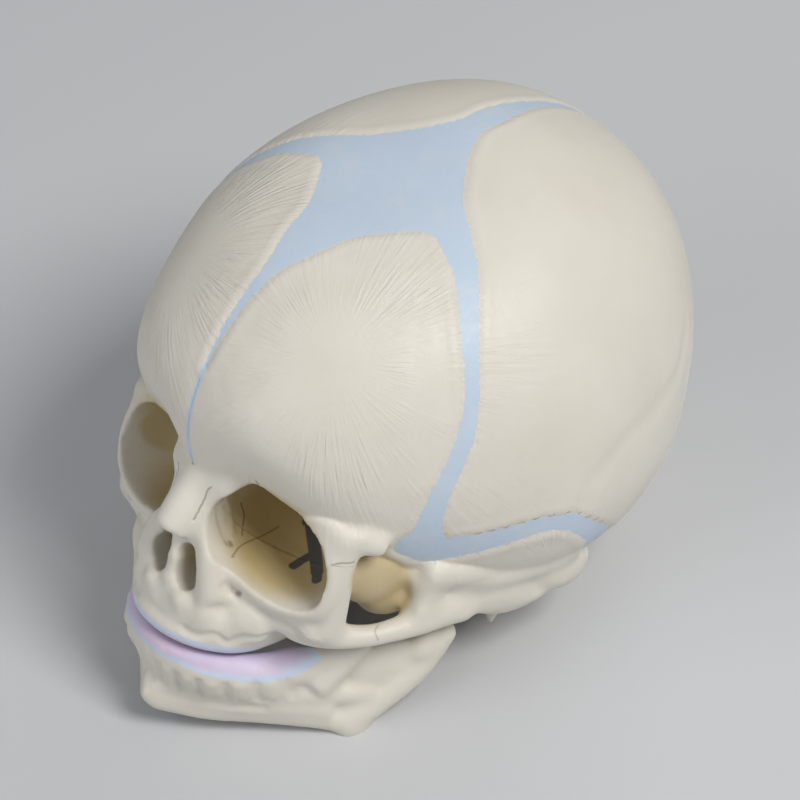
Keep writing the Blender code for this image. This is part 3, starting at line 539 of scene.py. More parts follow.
@dataclass(frozen=True)
class Stroke(Traced):
    """Line worked into a surface: raised, or sunk where the height is negative."""

    path: tuple[Point, ...]
    reach: float
    height: float


@dataclass(frozen=True)
class Blend(Traced):
    """Line along which a surface is smoothed out."""

    path: tuple[Point, ...]
    reach: float
    passes: int = 40
    step = 0.4


@dataclass(frozen=True)
class Paint(Traced):
    """Colour mask along a line: full up to a reach and gone at its fringe.

    The last field holds the start of the names of the pieces that it is for.
    """

    mask: str
    path: tuple[Point, ...]
    reach: float
    fringe: float
    strength: float = 1
    only: str = ""


@dataclass(frozen=True)
class Seam:
    """One soft seam: a band along a line, or a field inside an outline, in degrees on the braincase."""

    name: str
    rows: tuple
    teeth: float = 0.12
    is_field: bool = False
    symmetric: bool = False


@dataclass(frozen=True)
class SeamPlan:
    """All soft seams of the left side and the midline, and the tools that cut them."""

    unit: float = 3
    step: float = 0.45
    inner_share: float = 0.45
    outer_share: float = 2.2
    recess: float = 0.22
    tuck: float = 0.45
    thickness: float = 1.4
    pinch: float = 0.02
    fineness: tuple[int, int] = (256, 160)
    mark_steps: tuple[int, int, int] = (18, -12, 6)
    mark_lean: Point = (0, 0.018, 0.012)
    mark_widths: tuple[float, float] = (0.1, 0.3)
    mark_strength: float = 0.45
    seams: tuple[Seam, ...] = (
        Seam("anterior_fontanelle", (
            (0, 31), (1.9, 31.5), (3, 35), (7, 41.4), (12, 48.6), (24, 54.6), (37, 56.9), (43, 53.9), (49, 48.3),
            (56.5, 48.5), (55.3, 54.3), (52.7, 62.2), (50.4, 66.8), (50.3, 71.4), (54, 80), (72, 84.8),
            (110, 86.3), (145, 84.8), (164, 80), (180, 79.8),
        ), 0.10, True, True),
        Seam("posterior_fontanelle", ((180, 41), (176.5, 38), (172, 33), (176, 32), (180, 31)), 0.10, True, True),
        Seam("sphenoidal_fontanelle_left", (
            (48.5, -21), (52, -13.5), (58, -13.8), (60.5, -16.8), (62.5, -23.5), (57.8, -26), (52.5, -24.5),
        ), 0.15, True),
        Seam("mastoid_fontanelle_left", (
            (98.5, -14.5), (104.5, -16), (113, -20), (116.5, -24), (111.5, -28), (104, -24.5),
        ), 0.15, True),
        Seam("metopic_seam", (
            (0, 35, 0.70), (0, 31.5, 0.50), (0, 27, 0.36), (0, 22, 0.26), (0, 17, 0.19), (0, 10, 0.08),
        ), 0.12),
        Seam("sagittal_seam", (
            (180, 84, 0.90), (180, 80, 0.80), (180, 70, 0.42), (180, 58, 0.34), (180, 46, 0.36), (180, 38, 0.50),
        ), 0.20),
        Seam("coronal_seam_left", (
            (51.9, 52, 0.80), (52.7, 48.3, 0.75), (54.8, 37, 0.60), (56.3, 29, 0.48), (57.8, 20, 0.47),
            (57.8, 13, 0.55), (56.7, 5, 0.57), (55.2, -3, 0.63), (54.9, -11, 0.78), (55.5, -17, 1.10),
        ), 0.22),
        Seam("squamous_seam_left", (
            (59, -21, 1.15), (64, -18.6, 1.08), (69.2, -16.3, 0.92), (77.5, -11.6, 0.74), (84.5, -9.2, 0.64),
            (91.5, -10.7, 0.62), (98, -14.5, 0.70), (104, -18, 0.90),
        ), 0.28),
        Seam("lambdoid_seam_left", (
            (115, -22.5, 0.62), (121.5, -13, 0.42), (127, -2, 0.38), (133, 8, 0.36), (142, 17, 0.36),
            (153, 25, 0.38), (165, 31, 0.45), (176, 34.5, 0.60),
        ), 0.28),
    )

    def band_sides(self, seam: Seam, margin: float) -> tuple[np.ndarray, np.ndarray]:
        """Headings of the two toothed sides of a band, narrowed by a margin."""
        rows = np.array(seam.rows, float)
        line = np.column_stack([BRAINCASE.on_skin(directions(rows[:, :2])), rows[:, 2]])
        line = smooth_line(line, self.step)
        middle = line[:, :3] - BRAINCASE.centre
        reach = np.linalg.norm(middle, axis=1)
        middle /= reach[:, None]
        ahead = np.gradient(middle, axis=0)
        sideways = np.cross(middle, ahead)
        sideways /= np.linalg.norm(sideways, axis=1)[:, None]
        along = np.arange(len(middle)) * self.step
        sides = []
        for side in (-1, 1):
            spread = line[:, 3] * self.unit - margin + wobble(along, seam.teeth, side + len(seam.name))
            sides.append(middle + sideways * (side * spread / reach)[:, None])
        return sides[0], sides[1]

    def field_edge(self, seam: Seam, margin: float) -> np.ndarray:
        """Headings round a toothed field, shrunk by a margin."""
        outline = directions(seam.rows)
        if seam.symmetric:
            outline = np.vstack([outline, outline[-2:0:-1] * (-1, 1, 1)])
        outline = smooth_line(BRAINCASE.on_skin(outline), self.step, closed=True) - BRAINCASE.centre
        reach = np.linalg.norm(outline, axis=1)
        outline /= reach[:, None]
        middle = outline.mean(axis=0)
        inward = np.cross(outline, np.roll(outline, -1, axis=0) - np.roll(outline, 1, axis=0))
        inward /= np.linalg.norm(inward, axis=1)[:, None]
        turned = np.sign(((middle - outline) * inward).sum(axis=1).sum())
        along = np.arange(len(outline)) * self.step
        if seam.symmetric:
            along = np.minimum(along, along[-1] + self.step - along)
        spread = margin + wobble(along, seam.teeth, len(seam.name))
        return outline + inward * (turned * spread / reach)[:, None]

    def tool(self, seam: Seam, margin: float) -> Thing:
        """Wedge through the braincase's wall inside a seam."""
        centre = BRAINCASE.centre
        if not seam.is_field:
            left, right = self.band_sides(seam, margin)
            rings = []
            for one, other in zip(left, right):
                reach = BRAINCASE.radius(np.array([(one + other) / 2]))[0]
                rings.append([
                    Vector(centre + side * reach * share) for side, share in (
                        (one, self.inner_share), (one, self.outer_share),
                        (other, self.outer_share), (other, self.inner_share),
                    )
                ])
            return loft(rings, "band")
        edge = self.field_edge(seam, margin)
        middle = edge.mean(axis=0)
        middle /= np.linalg.norm(middle)
        reach = BRAINCASE.radius(middle[None])[0]
        rings = []
        for share, gather in (
            (self.inner_share, self.pinch), (self.inner_share, 1),
            (self.outer_share, 1), (self.outer_share, self.pinch),
        ):
            rings.append([Vector(centre + (middle + (point - middle) * gather) * reach * share) for point in edge])
        return loft(rings, "field")

    def edges(self) -> np.ndarray:
        """Points along every edge of every seam, on the skin."""
        found = []
        for seam in self.seams:
            if seam.is_field:
                found.append(self.field_edge(seam, 0))
            else:
                found.extend(self.band_sides(seam, 0))
        headings = np.vstack(found)
        return BRAINCASE.on_skin(headings / np.linalg.norm(headings, axis=1)[:, None])

    def tooth_marks(self) -> tuple[Paint, ...]:
        """Short dark teeth along the upper edge of the squamous seam."""
        seam = next(seam for seam in self.seams if seam.name == "squamous_seam_left")
        upper = max(self.band_sides(seam, 0), key=lambda side: side[:, 2].sum())
        first, last, step = self.mark_steps
        marks = []
        for foot in upper[first:last:step]:
            ends = np.array([foot, foot + self.mark_lean])
            path = BRAINCASE.on_skin(ends / np.linalg.norm(ends, axis=1)[:, None])
            marks.append(Paint("crack", tuple(map(tuple, path)), *self.mark_widths, self.mark_strength))
        return tuple(marks)

    def membranes(self) -> dict[str, Thing]:
        """The soft seams themselves, whose edges run in under the bones."""
        shell = BRAINCASE.shell(self.recess, self.thickness, *self.fineness)
        made: dict[str, Thing] = {}
        fields: list[Seam] = []
        for seam in self.seams:
            piece = combined(copy_of(shell, seam.name), self.tool(seam, -self.tuck), "INTERSECT")
            for earlier in fields:
                combined(piece, self.tool(earlier, -self.tuck), "DIFFERENCE")
            made[seam.name] = largest(piece)
            if seam.is_field:
                fields.append(seam)
        dropped(shell)
        return made


SEAMS = SeamPlan()


def surface_of(thing: Thing) -> BVHTree:
    """Search tree of an object's faces."""
    form = bmesh.new()
    form.from_mesh(thing.data)
    tree = BVHTree.FromBMesh(form)
    form.free()
    return tree


def snapped(line: np.ndarray, tree: BVHTree, limit: float) -> np.ndarray:
    """Moves the points of a line onto a surface, and leaves out those that are too far from it.

    Args:
        line: Points of the line.
        tree: Search tree of the surface.
        limit: Distance up to which a point counts.

    Returns:
        The moved points.
    """
    found = [tree.find_nearest(point, limit)[0] for point in line]
    return np.array([spot for spot in found if spot is not None]).reshape(-1, 3)


def worked(thing: Thing, strokes: tuple[Stroke, ...]) -> None:
    """Raises and sinks an object's skin along strokes."""
    tree = surface_of(thing)
    for stroke in strokes:
        rows = corners_of(thing)
        line = snapped(stroke.line(), tree, STROKE_SNAP)
        if len(line):
            away = distances(rows, line, stroke.reach)
            share = np.clip(1 - (away / stroke.reach) ** 2, 0, 1) ** 2
            move_corners(thing, rows + normals_of(thing) * (stroke.height * share)[:, None])


def refined(thing: Thing, lines: list[tuple[np.ndarray, float]]) -> None:
    """Divides the faces along lines up to their reach, so that these can be painted finely."""
    for _ in range(REFINED_ROUNDS):
        rows = corners_of(thing)
        near = np.zeros(len(rows), bool)
        for line, reach in lines:
            near |= distances(rows, line, reach) < reach
        form = bmesh.new()
        form.from_mesh(thing.data)
        edges = [edge for edge in form.edges if near[edge.verts[0].index] or near[edge.verts[1].index]]
        bmesh.ops.subdivide_edges(form, edges=edges, cuts=1, use_grid_fill=True)
        form.to_mesh(thing.data)
        form.free()


def softened(thing: Thing, blends: tuple[Blend, ...]) -> None:
    """Smooths an object's skin inside the reach of each blend."""
    for blend in blends:
        away = distances(corners_of(thing), blend.line(), blend.reach)
        share = np.clip(BLEND_GAIN * (1 - away / blend.reach), 0, 1)
        level = np.round(BLEND_LEVELS * share).astype(int)
        group = thing.vertex_groups.new(name="blend")
        for step in range(1, BLEND_LEVELS + 1):
            group.add(np.flatnonzero(level == step).tolist(), step / BLEND_LEVELS, "REPLACE")
        smooth = thing.modifiers.new("blend", "SMOOTH")
        smooth.factor = SMOOTHING
        smooth.iterations = blend.passes
        smooth.vertex_group = group.name
        baked(thing)
        thing.vertex_groups.clear()


def painted(thing: Thing, paints: tuple[Paint, ...]) -> None:
    """Writes colour masks on an object's corners."""
    tree = surface_of(thing)
    paints = tuple(paint for paint in paints if thing.name.startswith(paint.only))
    lines = [
        snapped(paint.line(), tree, MARK_SNAP) if paint.fringe < WIDE_FRINGE else paint.line() for paint in paints
    ]
    thin = [
        (line, paint.fringe + REFINED_MARGIN)
        for line, paint in zip(lines, paints) if paint.fringe < THIN_FRINGE and len(line)
    ]
    if thin:
        refined(thing, thin)
    rows = corners_of(thing)
    masks: dict[str, np.ndarray] = {}
    for line, paint in zip(lines, paints):
        if not len(line):
            continue
        away = distances(rows, line, paint.fringe)
        share = paint.strength * eased((paint.fringe - away) / (paint.fringe - paint.reach))
        masks[paint.mask] = np.maximum(masks.get(paint.mask, 0), share)
    for mask, values in masks.items():
        if values.max() > 0:
            layer = thing.data.attributes.new(mask, "FLOAT", "POINT")
            layer.data.foreach_set("value", values.astype(np.float32))


@dataclass(frozen=True)
class EyeSocket:
    """Rounded pyramid of an eye socket with its margin."""

    centre: Point = (17.96, -45.55, -17.28)
    apex: Point = (8.6, -23.25, -15.2)
    depth: float = 25.5
    wall: float = 1.4
    rim: float = 1.6
    rim_spread: float = 0.7
    front_share: float = -0.3
    slopes: tuple[float, float] = (0.303, 0.043)
    shrink: float = 0.5
    step: float = 1.3
    outline: tuple = (
        (7.5, -10), (9.8, -7.4), (12.3, -5.8), (16.5, -6.6), (20.5, -7.3), (24.3, -9), (27.6, -11.8),
        (29.6, -15.5), (30.5, -19.5), (29.9, -24), (27.6, -26.5), (22.6, -28), (16.7, -27.5), (10, -25.2),
        (6.2, -21.6), (4.5, -16.3), (5.2, -12.8),
    )
    rings: tuple = ((0, 1), (0.12, 0.995), (0.25, 0.98), (0.38, 0.945), (0.5, 0.88), (0.63, 0.78), (0.75, 0.62),
                    (0.86, 0.45), (0.94, 0.30), (1, 0.16))

    def ring(self, depth_share: float, size_share: float, growth: float) -> list[Vector]:
        """Outline at a share of the depth."""
        centre = Vector(self.centre)
        axis = (Vector(self.apex) - centre).normalized()
        middle = centre + axis * depth_share * (self.depth + growth * (depth_share > 0))
        points = []
        for across, up in smooth_line(np.array(self.outline), self.step, closed=True):
            flat = Vector((across - self.centre[0], up - self.centre[2]))
            flat = flat.normalized() * ((flat.length - self.shrink) * size_share + growth)
            points.append(middle + Vector((flat.x, flat.x * self.slopes[0] + flat.y * self.slopes[1], flat.y)))
        return points

    def form(self) -> Thing:
        """Solid of the socket with its wall."""
        return loft([self.ring(*row, self.wall) for row in self.rings], "orbit")

    def tool(self) -> Thing:
        """Solid of the hollow, which starts in front of the rim."""
        return loft([self.ring(self.front_share, 1, 0)] + [self.ring(*row, 0) for row in self.rings], "orbit")

    def margin(self) -> Thing:
        """Rounded margin round the socket."""
        crest = self.ring(self.rim / self.depth, 1, self.rim * self.rim_spread)
        return rod(tuple((*point, self.rim) for point in crest), closed=True, steps=2)


@dataclass(frozen=True)
class Nose:
    """Two rounded chambers of the nose and the recess in front of the ridge between them."""

    recess: tuple = ((-70, -19.8), (-57.4, -20.2), (-52.8, -23.4), (-52.6, -30.4), (-70, -31.2))
    recess_half: float = 2.4
    step: float = 0.4
    passes: int = 3
    chambers: tuple = (
        ((2.9, -50, -26), (2, 7, 2.7)),
        ((3.75, -49.3, -29.2), (2.75, 7.5, 4.1)),
    )

    def tool(self) -> Thing:
        """Solid of the chambers and the recess."""
        forms = with_mirrors([ball(*chamber) for chamber in self.chambers])
        forms.append(prism("X", self.recess, -self.recess_half, self.recess_half))
        return skinned(joined(forms, "nose"), self.step, self.passes)


@dataclass(frozen=True)
class Foramen:
    """Opening for the spinal cord with its rounded rim."""

    centre: Point = (0, 15, -33.6)
    half_width: float = 7.8
    half_length: float = 10.5
    rim: float = 3
    corners: int = 40
    heights: tuple[float, float] = (-30, 10)

    def ring(self, growth: float, height: float) -> list[Vector]:
        """Outline grown by a margin, at a height over its plane."""
        return [
            Vector(self.centre) + Vector((
                (self.half_width + growth) * math.cos(2 * math.pi * turn / self.corners),
                (self.half_length + growth) * math.sin(2 * math.pi * turn / self.corners),
                height,
            ))
            for turn in range(self.corners)
        ]

    def rim_form(self) -> Thing:
        """Ring of bone round the opening."""
        return rod(tuple((*point, self.rim) for point in self.ring(self.rim, 0)), closed=True, steps=2)

    def tool(self) -> Thing:
        """Solid of the opening."""
        return loft([self.ring(0, height) for height in self.heights], "foramen")


@dataclass(frozen=True)
class EarRing:
    """Open ring of the ear drum under the temporal bone."""

    centre: Point = (34, 2.2, -31)
    tilt: float = 50
    radius: float = 4.6
    wire: float = 0.9
    start: float = 125
    sweep: float = 290
    parts: int = 12

    def form(self, growth: float) -> Thing:
        """The ring, grown by a margin."""
        place = Matrix.Translation(self.centre) @ Matrix.Rotation(math.radians(self.tilt), 4, "Y")
        rows = []
        for step in range(self.parts + 1):
            angle = math.radians(self.start + self.sweep * step / self.parts)
            spot = place @ (Vector((0, math.cos(angle), math.sin(angle))) * self.radius)
            rows.append((*spot, self.wire + growth))
        return rod(tuple(rows), steps=4)


@dataclass(frozen=True)
class Pivot:
    """Seats of the hinge pins in the temporal bones and the condyles."""

    spacing: float = 33.3
    condyle_half: float = 4
    condyle_radius: float = 3.2
    clearance: float = 0.9
    lug: float = 2.6
    lug_rise: float = 3
    lug_root: float = 1.3
    pin: float = 1
    pin_length: float = 9
    bore_end: float = 0.6

    @property
    def condyle(self) -> Point:
        """Middle of the left condyle."""
        return (self.spacing, HINGE[1], HINGE[2])

    def lug_form(self) -> Thing:
        """Boss beside the condyle that holds the pin."""
        across = self.spacing - self.condyle_half - self.clearance - self.lug
        y, z = HINGE[1:]
        return rod((
            (across, y, z + self.lug_rise * self.lug, self.lug_root * self.lug), (across, y, z + self.lug, self.lug),
            (across, y, z, self.lug),
        ))

    def socket(self) -> Thing:
        """Room for the condyle."""
        return bar(self.condyle, self.condyle_radius + self.clearance, 2 * (self.condyle_half + self.clearance))

    def bore(self) -> Thing:
        """Seat of the pin."""
        middle = (self.spacing - self.pin_length / 2, HINGE[1], HINGE[2])
        return bar(middle, self.pin + PLAY, self.pin_length + self.bore_end)


@dataclass(frozen=True)
class GumLine:
    """Cut between a jaw's bone and its gum, seen from the side, and the pad along the edge."""

    pad: Rod
    outline: tuple[tuple[float, float], ...]
    border: float
    share: float
    fade: float = 1.5
    half: float = 40

    def rods(self) -> list[Thing]:
        """Rounded pad along the edge of the jaw, both sides."""
        return [rod(tuple((-x, y, z, r) for x, y, z, r in reversed(self.pad[1:])) + self.pad)]

    def edge(self, thing: Thing) -> None:
        """Writes the mask of the pale border along the cut."""
        rows = corners_of(thing) * (0, 1, 1)
        line = np.vstack([straight(((0, *one), (0, *other))) for one, other in zip(self.outline, self.outline[1:-2])])
        away = distances(rows, line, self.border)
        layer = thing.data.attributes.new("border", "FLOAT", "POINT")
        values = self.share * np.clip(self.fade - self.fade * away / self.border, 0, 1)
        layer.data.foreach_set("value", values.astype(np.float32))

    def tool(self) -> Thing:
        """Everything on the gum's side of the cut."""
        return prism("X", self.outline, -self.half, self.half)


UPPER_GUM = GumLine(
    pad=((0, -51.8, -41.7, 2.4), (5.5, -50.8, -41.7, 2.4), (10, -48, -41.6, 2.4), (13.3, -44, -41.2, 2.4),
         (14.8, -39.5, -40.4, 2.4), (15.2, -34, -39.4, 1.9)),
    outline=((-70, -41.6), (-51.5, -41.4), (-47.5, -40.9), (-42, -40.8), (-37, -41), (-30, -41.2), (-30, -50),
             (-70, -50)),
    border=2.6,
    share=0.8,
)
LOWER_GUM = GumLine(
    pad=((0, -51.2, -46.8, 2.3), (5, -50.2, -46.8, 2.3), (10, -47.2, -46.7, 2.3), (14.8, -41.9, -46.1, 2.3),
         (17.4, -36.4, -45, 2.3), (19.8, -32.4, -43.2, 2)),
    outline=((-70, -48.2), (-48, -48), (-41, -47.4), (-37.5, -46.1), (-34.8, -44), (-32.8, -41.6), (-31.8, -38),
             (-31.8, -30), (-70, -30)),
    border=1.5,
    share=0.95,
)


@dataclass(frozen=True)
class Cranium:
    """Face, base and braincase as one skin, and the saw cuts that part its bones."""

    socket: EyeSocket = EyeSocket()
    nose: Nose = Nose()
    foramen: Foramen = Foramen()
    ear: EarRing = EarRing()
    pivot: Pivot = Pivot()
    rods: tuple[Rod, ...] = (
        ((0, -47.2, -8, 4.4), (0, -49.2, -12.3, 4.2), (0, -51.9, -16.6, 4),
         (0, -54.4, -21.4, 3.8)),
        ((3.6, -47.6, -7.5, 2.8), (4.4, -48.4, -14, 2.6), (5.8, -49.2, -20, 2.7),
         (7.6, -49.4, -26, 2.9), (9, -48.4, -32.5, 3.5)),
        ((0, -49.8, -37.6, 3.6), (5.6, -49, -38, 3.8), (9.8, -46.8, -38, 4),
         (13.3, -43, -38, 4), (15, -38.5, -37.6, 4), (15.4, -33, -36.8, 3.6)),
        ((29.2, -38.2, -10, 2.8), (29.8, -37.8, -16.8, 2.5), (29.6, -37.6, -24, 2.7),
         (28.8, -37, -30.8, 3.2)),
        ((14, -44, -4, 2.2), (20.5, -42.2, -5.4, 2.6), (25.5, -40.2, -7.4, 3),
         (29.2, -38.2, -10.6, 3)),
        ((28.8, -36.8, -32, 2.8), (32, -31.5, -32, 2.3), (34, -26, -30.8, 2.3),
         (35.4, -20, -29.4, 2.8), (35.8, -13, -27.4, 3.6)),
        ((14.5, -43, -32, 2.8), (20.5, -39.8, -32.2, 2.6), (26.5, -37.6, -32, 2.8)),
        ((29.5, -37, -9, 3.2), (31.5, -34.2, -10.2, 3), (33.5, -31.5, -11, 2.6)),
        ((20.5, -38.8, -34.2, 2.6), (25, -37.2, -34.2, 2.7), (29.5, -35.6, -32.4, 2.4)),
        ((10.1, -27, -23.2, 3.2), (10.1, -26.5, -30.8, 2.6), (9.5, -27.5, -37.6, 2)),
        ((0, -20, -22, 6), (0, -8, -27, 5.5), (0, 4, -31, 5)),
        ((35, 3, -26, 6), (24, -3, -26.5, 4.5), (12, -11, -26, 3)),
        ((35, -22, -18.5, 3), (36.2, -15, -17.8, 4.2), (36.6, -6, -17.5, 4.8), (36.8, 5, -17.5, 5)),
        ((34.8, -22.4, -26.4, 2.6), (35.4, -14, -26.8, 3.5), (35.2, -6, -26, 4.2),
         (34.5, 3, -26, 5)),
        ((33.6, -14.3, -22, 3.6), (37.6, -7.4, -19.3, 4.2), (39.7, 2.8, -17.9, 4.3), (42.1, 9.9, -14, 4)),
        ((37, -6.5, -27.4, 2.4), (38, 0.5, -27.8, 2.6), (39.6, 6.5, -25.6, 2.6)),
        ((34.6, -20.2, -19, 3.2), (34.6, -19.2, -23, 3.2), (34.8, -18.4, -27, 3)),
    )
    balls: tuple[tuple[Point, Point], ...] = (
        ((12.6, -42.8, -34.4), (7.4, 4.2, 6.4)),
        ((0, -46.5, -36.4), (6, 6, 6)),
        ((4, -47.4, -15.5), (3, 3, 7.5)),
        ((4, -50.5, -35.2), (3, 3, 3)),
        ((8.8, -48.2, -35.6), (3, 3, 3)),
        ((12.9, -44, -36), (3, 3, 3)),
        ((26.2, -38.2, -31), (4.6, 3.6, 3.4)),
        ((0, -42, -35.6), (15, 11, 3)),
        ((0, -40, -14.8), (6, 12, 7)),
        ((0, -24, -20), (9, 11, 8)),
        ((26.3, -25.5, -20), (5.8, 9.5, 8.5)),
        ((26.5, -20.5, -25.5), (5, 8.5, 6.6)),
        ((0, -50.9, -32.4), (2.6, 2.2, 2.4)),
        ((0, -46.5, -27), (5.5, 6.3, 7.5)),
        ((5, -46.9, -10.5), (5.2, 4.2, 4.4)),
        ((35.5, 2, -24), (5.8, 13, 8.1)),
        ((38.5, 10, -20.6), (5.6, 8, 6.4)),
        ((34.5, -11, -27.9), (5, 5, 3.5)),
    )
    styloid: Rod = (
        (33.2, 1.5, -28, 2.2), (33.1, 2.3, -31.6, 2.1), (32.9, 3, -34.2, 1.5), (32.7, 3.6, -36.4, 0.7),
        (32.6, 3.8, -37.3, 0.3),
    )
    blends: tuple[Blend, ...] = (
        Blend(((0, -51.5, -8), (5, -50.5, -8), (9.5, -49.5, -8)), 4.5, 60),
        Blend(((5, -50.5, -11), (5, -51, -16), (6, -52, -21)), 3.6, 40),
        Blend(((31.5, -36.5, -7), (33, -33.5, -9.5), (36, -29, -11)), 4.5, 50),
        Blend(((35.5, -20.5, -20.5), (40.2, -8, -20.2), (42.4, 2.2, -18.8), (45, 9.3, -15)), 5, 50),
        Blend(((20, -42, -32.5), (25, -40, -33), (29.5, -37.5, -33)), 3.2, 40),
    )
    strokes: tuple[Stroke, ...] = (
        Stroke(((3.2, -44.4, -15.5), (3.1, -43.4, -17.3), (3.9, -42.7, -19.7), (4.9, -42.9, -21.5)), 1.2, 0.35),
        Stroke(((4.6, -46.6, -15.8), (4.9, -45.5, -19.5), (6.2, -44.6, -22.5)), 1.6, -0.5),
        Stroke(((11, -48, -28.5), (13.2, -46.3, -29.7), (19, -43, -30.8), (24, -41.3, -31.8)), 1.9, -0.5),
        Stroke(((13.2, -46.3, -29.7),), 0.9, -0.7),
        Stroke(((9.3, -51, -35.4),), 4, 0.6),
        Stroke(((15, -47.3, -35),), 3.6, 0.5),
        Stroke(((7, -52, -39.9), (9.6, -50.9, -40.1), (12.4, -49.2, -38.8), (14.4, -47.2, -39.9),
                (16.6, -45.6, -37.6), (19.5, -43, -36.6)), 1.4, -0.5),
        Stroke(((4.3, -51.2, -11), (4.3, -51.5, -12.9), (4.2, -52.2, -15.5), (4.1, -52.7, -17.1)), 0.7, -0.18),
    )
    crease: tuple = ((89.9, -6.1), (90.8, -4.1), (91.8, 1), (100.6, 8), (110.6, 11.3), (123.7, 14.6), (131.7, 20.9))
    crease_reach: float = 3.6
    crease_height: float = -0.28
    core_step: float = 0.9
    core_passes: int = 7
    shell_fineness: tuple[int, int] = (192, 120)
    overlap: float = 5
    skin_passes: int = 4
    true_band: tuple[float, float] = (0.12, 0.9)
    styloid_step: float = 0.25
    styloid_passes: int = 3
    styloid_parts: int = 12
    edge_depth: float = 0.6
    edge_reach: float = 4
    edge_fall: float = 0.34
    edge_width: float = 0.9
    lip: float = 0.10
    lip_place: float = 1.7
    lip_width: float = 0.8
    parietal_heading: tuple[float, float] = (110, 35)
    midline: tuple[str, ...] = ("vomer", "ethmoid_bone", "sphenoid_body", "occipital_basilar_part", "occipital_squama")
    cells: tuple = (
        ("vomer", (("X", ((-54.6, -22), (-54.6, -30.8), (-44, -30.8), (-44, -22)), -3.5, 1.5),)),
        ("nasal_bone_left", (("Y", ((-3.5, -8.4), (3.5, -8.4), (3.5, -22.4), (-3.5, -22.4)), -70, -43),)),
        ("maxilla_left", (
            ("Y", ((3.1, -8.4), (7.5, -9.2), (8.4, -26), (3.1, -26)), -70, -45),
            ("Y", ((-3.5, -22.4), (5.2, -23.2), (12.6, -25.6), (22.1, -29.2), (27.7, -37.6), (27.7, -56),
                   (-3.5, -56)), -70, -29),
        )),
        ("zygomatic_bone_left", (
            ("X", ((-55, -14.4), (-36.2, -14.4), (-36.2, -26.8), (-27.5, -26.8), (-26, -40), (-55, -40)),
             14, 45.5),
        )),
        ("temporal_bone_left", (
            ("Z", ((10.1, -13.5), (14, -20.5), (59.5, -20.5), (59.5, 23), (45.5, 20), (30.1, 10),
                   (17.9, 4), (10.1, -4)), -56, 8),
            ("Z", ((31.2, -30), (49, -30), (49, -17.5), (31.2, -17.5)), -44, -22.4),
        )),
        ("ethmoid_bone", (("Y", ((-7, -3.2), (8.8, -3.2), (8.8, -32), (-7, -32)), -47.5, -29),)),
        ("sphenoid_greater_wing_left", (
            ("Z", ((9.1, -36), (42, -36), (42, -20), (14, -20), (9.1, -13.5)), -56, -9.8),
        )),
        ("sphenoid_body", (
            ("Z", ((-10.5, -35), (10.5, -35), (14, -20), (10.1, -13), (-10.5, -13)), -56, -9.8),
        )),
        ("occipital_basilar_part", (
            ("Z", ((-10.5, -15), (10.8, -15), (11.9, 0), (7.7, 5.5), (-10.5, 5.5)), -56, -20),
        )),
        ("occipital_lateral_part_left", (
            ("Z", ((3.5, -2.5), (17.9, -2.5), (33.2, 11), (30.8, 21), (15.8, 28), (3.5, 25)), -56, -20),
        )),
        ("occipital_squama", (("Z", ((-14, 0), (70, 0), (70, 75), (-14, 75)), -56, 48),)),
    )

    def forms(self) -> list[Thing]:
        """Overlapping forms of the face and the base, both sides."""
        made = [rod(rows) for rows in self.rods]
        made += [ball(centre, radii) for centre, radii in self.balls]
        made += [self.socket.form(), self.socket.margin(), self.pivot.lug_form()]
        return with_mirrors(made) + [self.foramen.rim_form()] + UPPER_GUM.rods()

    def skin(self, seat: Matrix) -> Thing:
        """Left half of the whole cranium as one fine skin."""
        core = skinned(joined(self.forms(), "core"), self.core_step, self.core_passes)
        skull = combined(BRAINCASE.shell(0, BRAINCASE.wall, *self.shell_fineness), core, "UNION")
        left_of(skull, -self.overlap)
        for tool in (self.socket.tool(), self.nose.tool(), self.foramen.tool()):
            combined(skull, tool, "DIFFERENCE")
        skinned(skull, SKIN_STEP, self.skin_passes)
        BRAINCASE.true_up(skull, *self.true_band)
        softened(skull, self.blends)
        crease = tuple(map(tuple, BRAINCASE.on_skin(directions(self.crease))))
        worked(skull, self.strokes + (Stroke(crease, self.crease_reach, self.crease_height),))
        self.round_edges(skull)
        thorn = skinned(rod(self.styloid, steps=self.styloid_parts), self.styloid_step, self.styloid_passes)
        combined(skull, thorn, "UNION")
        for tool in (self.pivot.socket(), self.pivot.bore(), self.ear.form(PLAY), under_table(seat)):
            combined(skull, tool, "DIFFERENCE")
        return left_of(skull, 0)

    def round_edges(self, skull: Thing) -> None:
        """Rounds the bones over towards the seams and raises a faint lip beside them."""
        rows = corners_of(skull) - BRAINCASE.centre
        size = np.linalg.norm(rows, axis=1)
        headings = rows / size[:, None]
        outer = np.abs(size - BRAINCASE.radius(headings)) < self.edge_depth
        away = np.full(len(rows), np.inf)
        away[outer] = distances(rows[outer] + BRAINCASE.centre, SEAMS.edges(), self.edge_reach)
        fall = -self.edge_fall * np.clip(1 - away / self.edge_width, 0, 1) ** 2
        lip = self.lip * np.exp(-((np.minimum(away, 2 * self.edge_reach) - self.lip_place) / self.lip_width) ** 2)
        move_corners(skull, BRAINCASE.centre + headings * (size + fall + lip)[:, None])

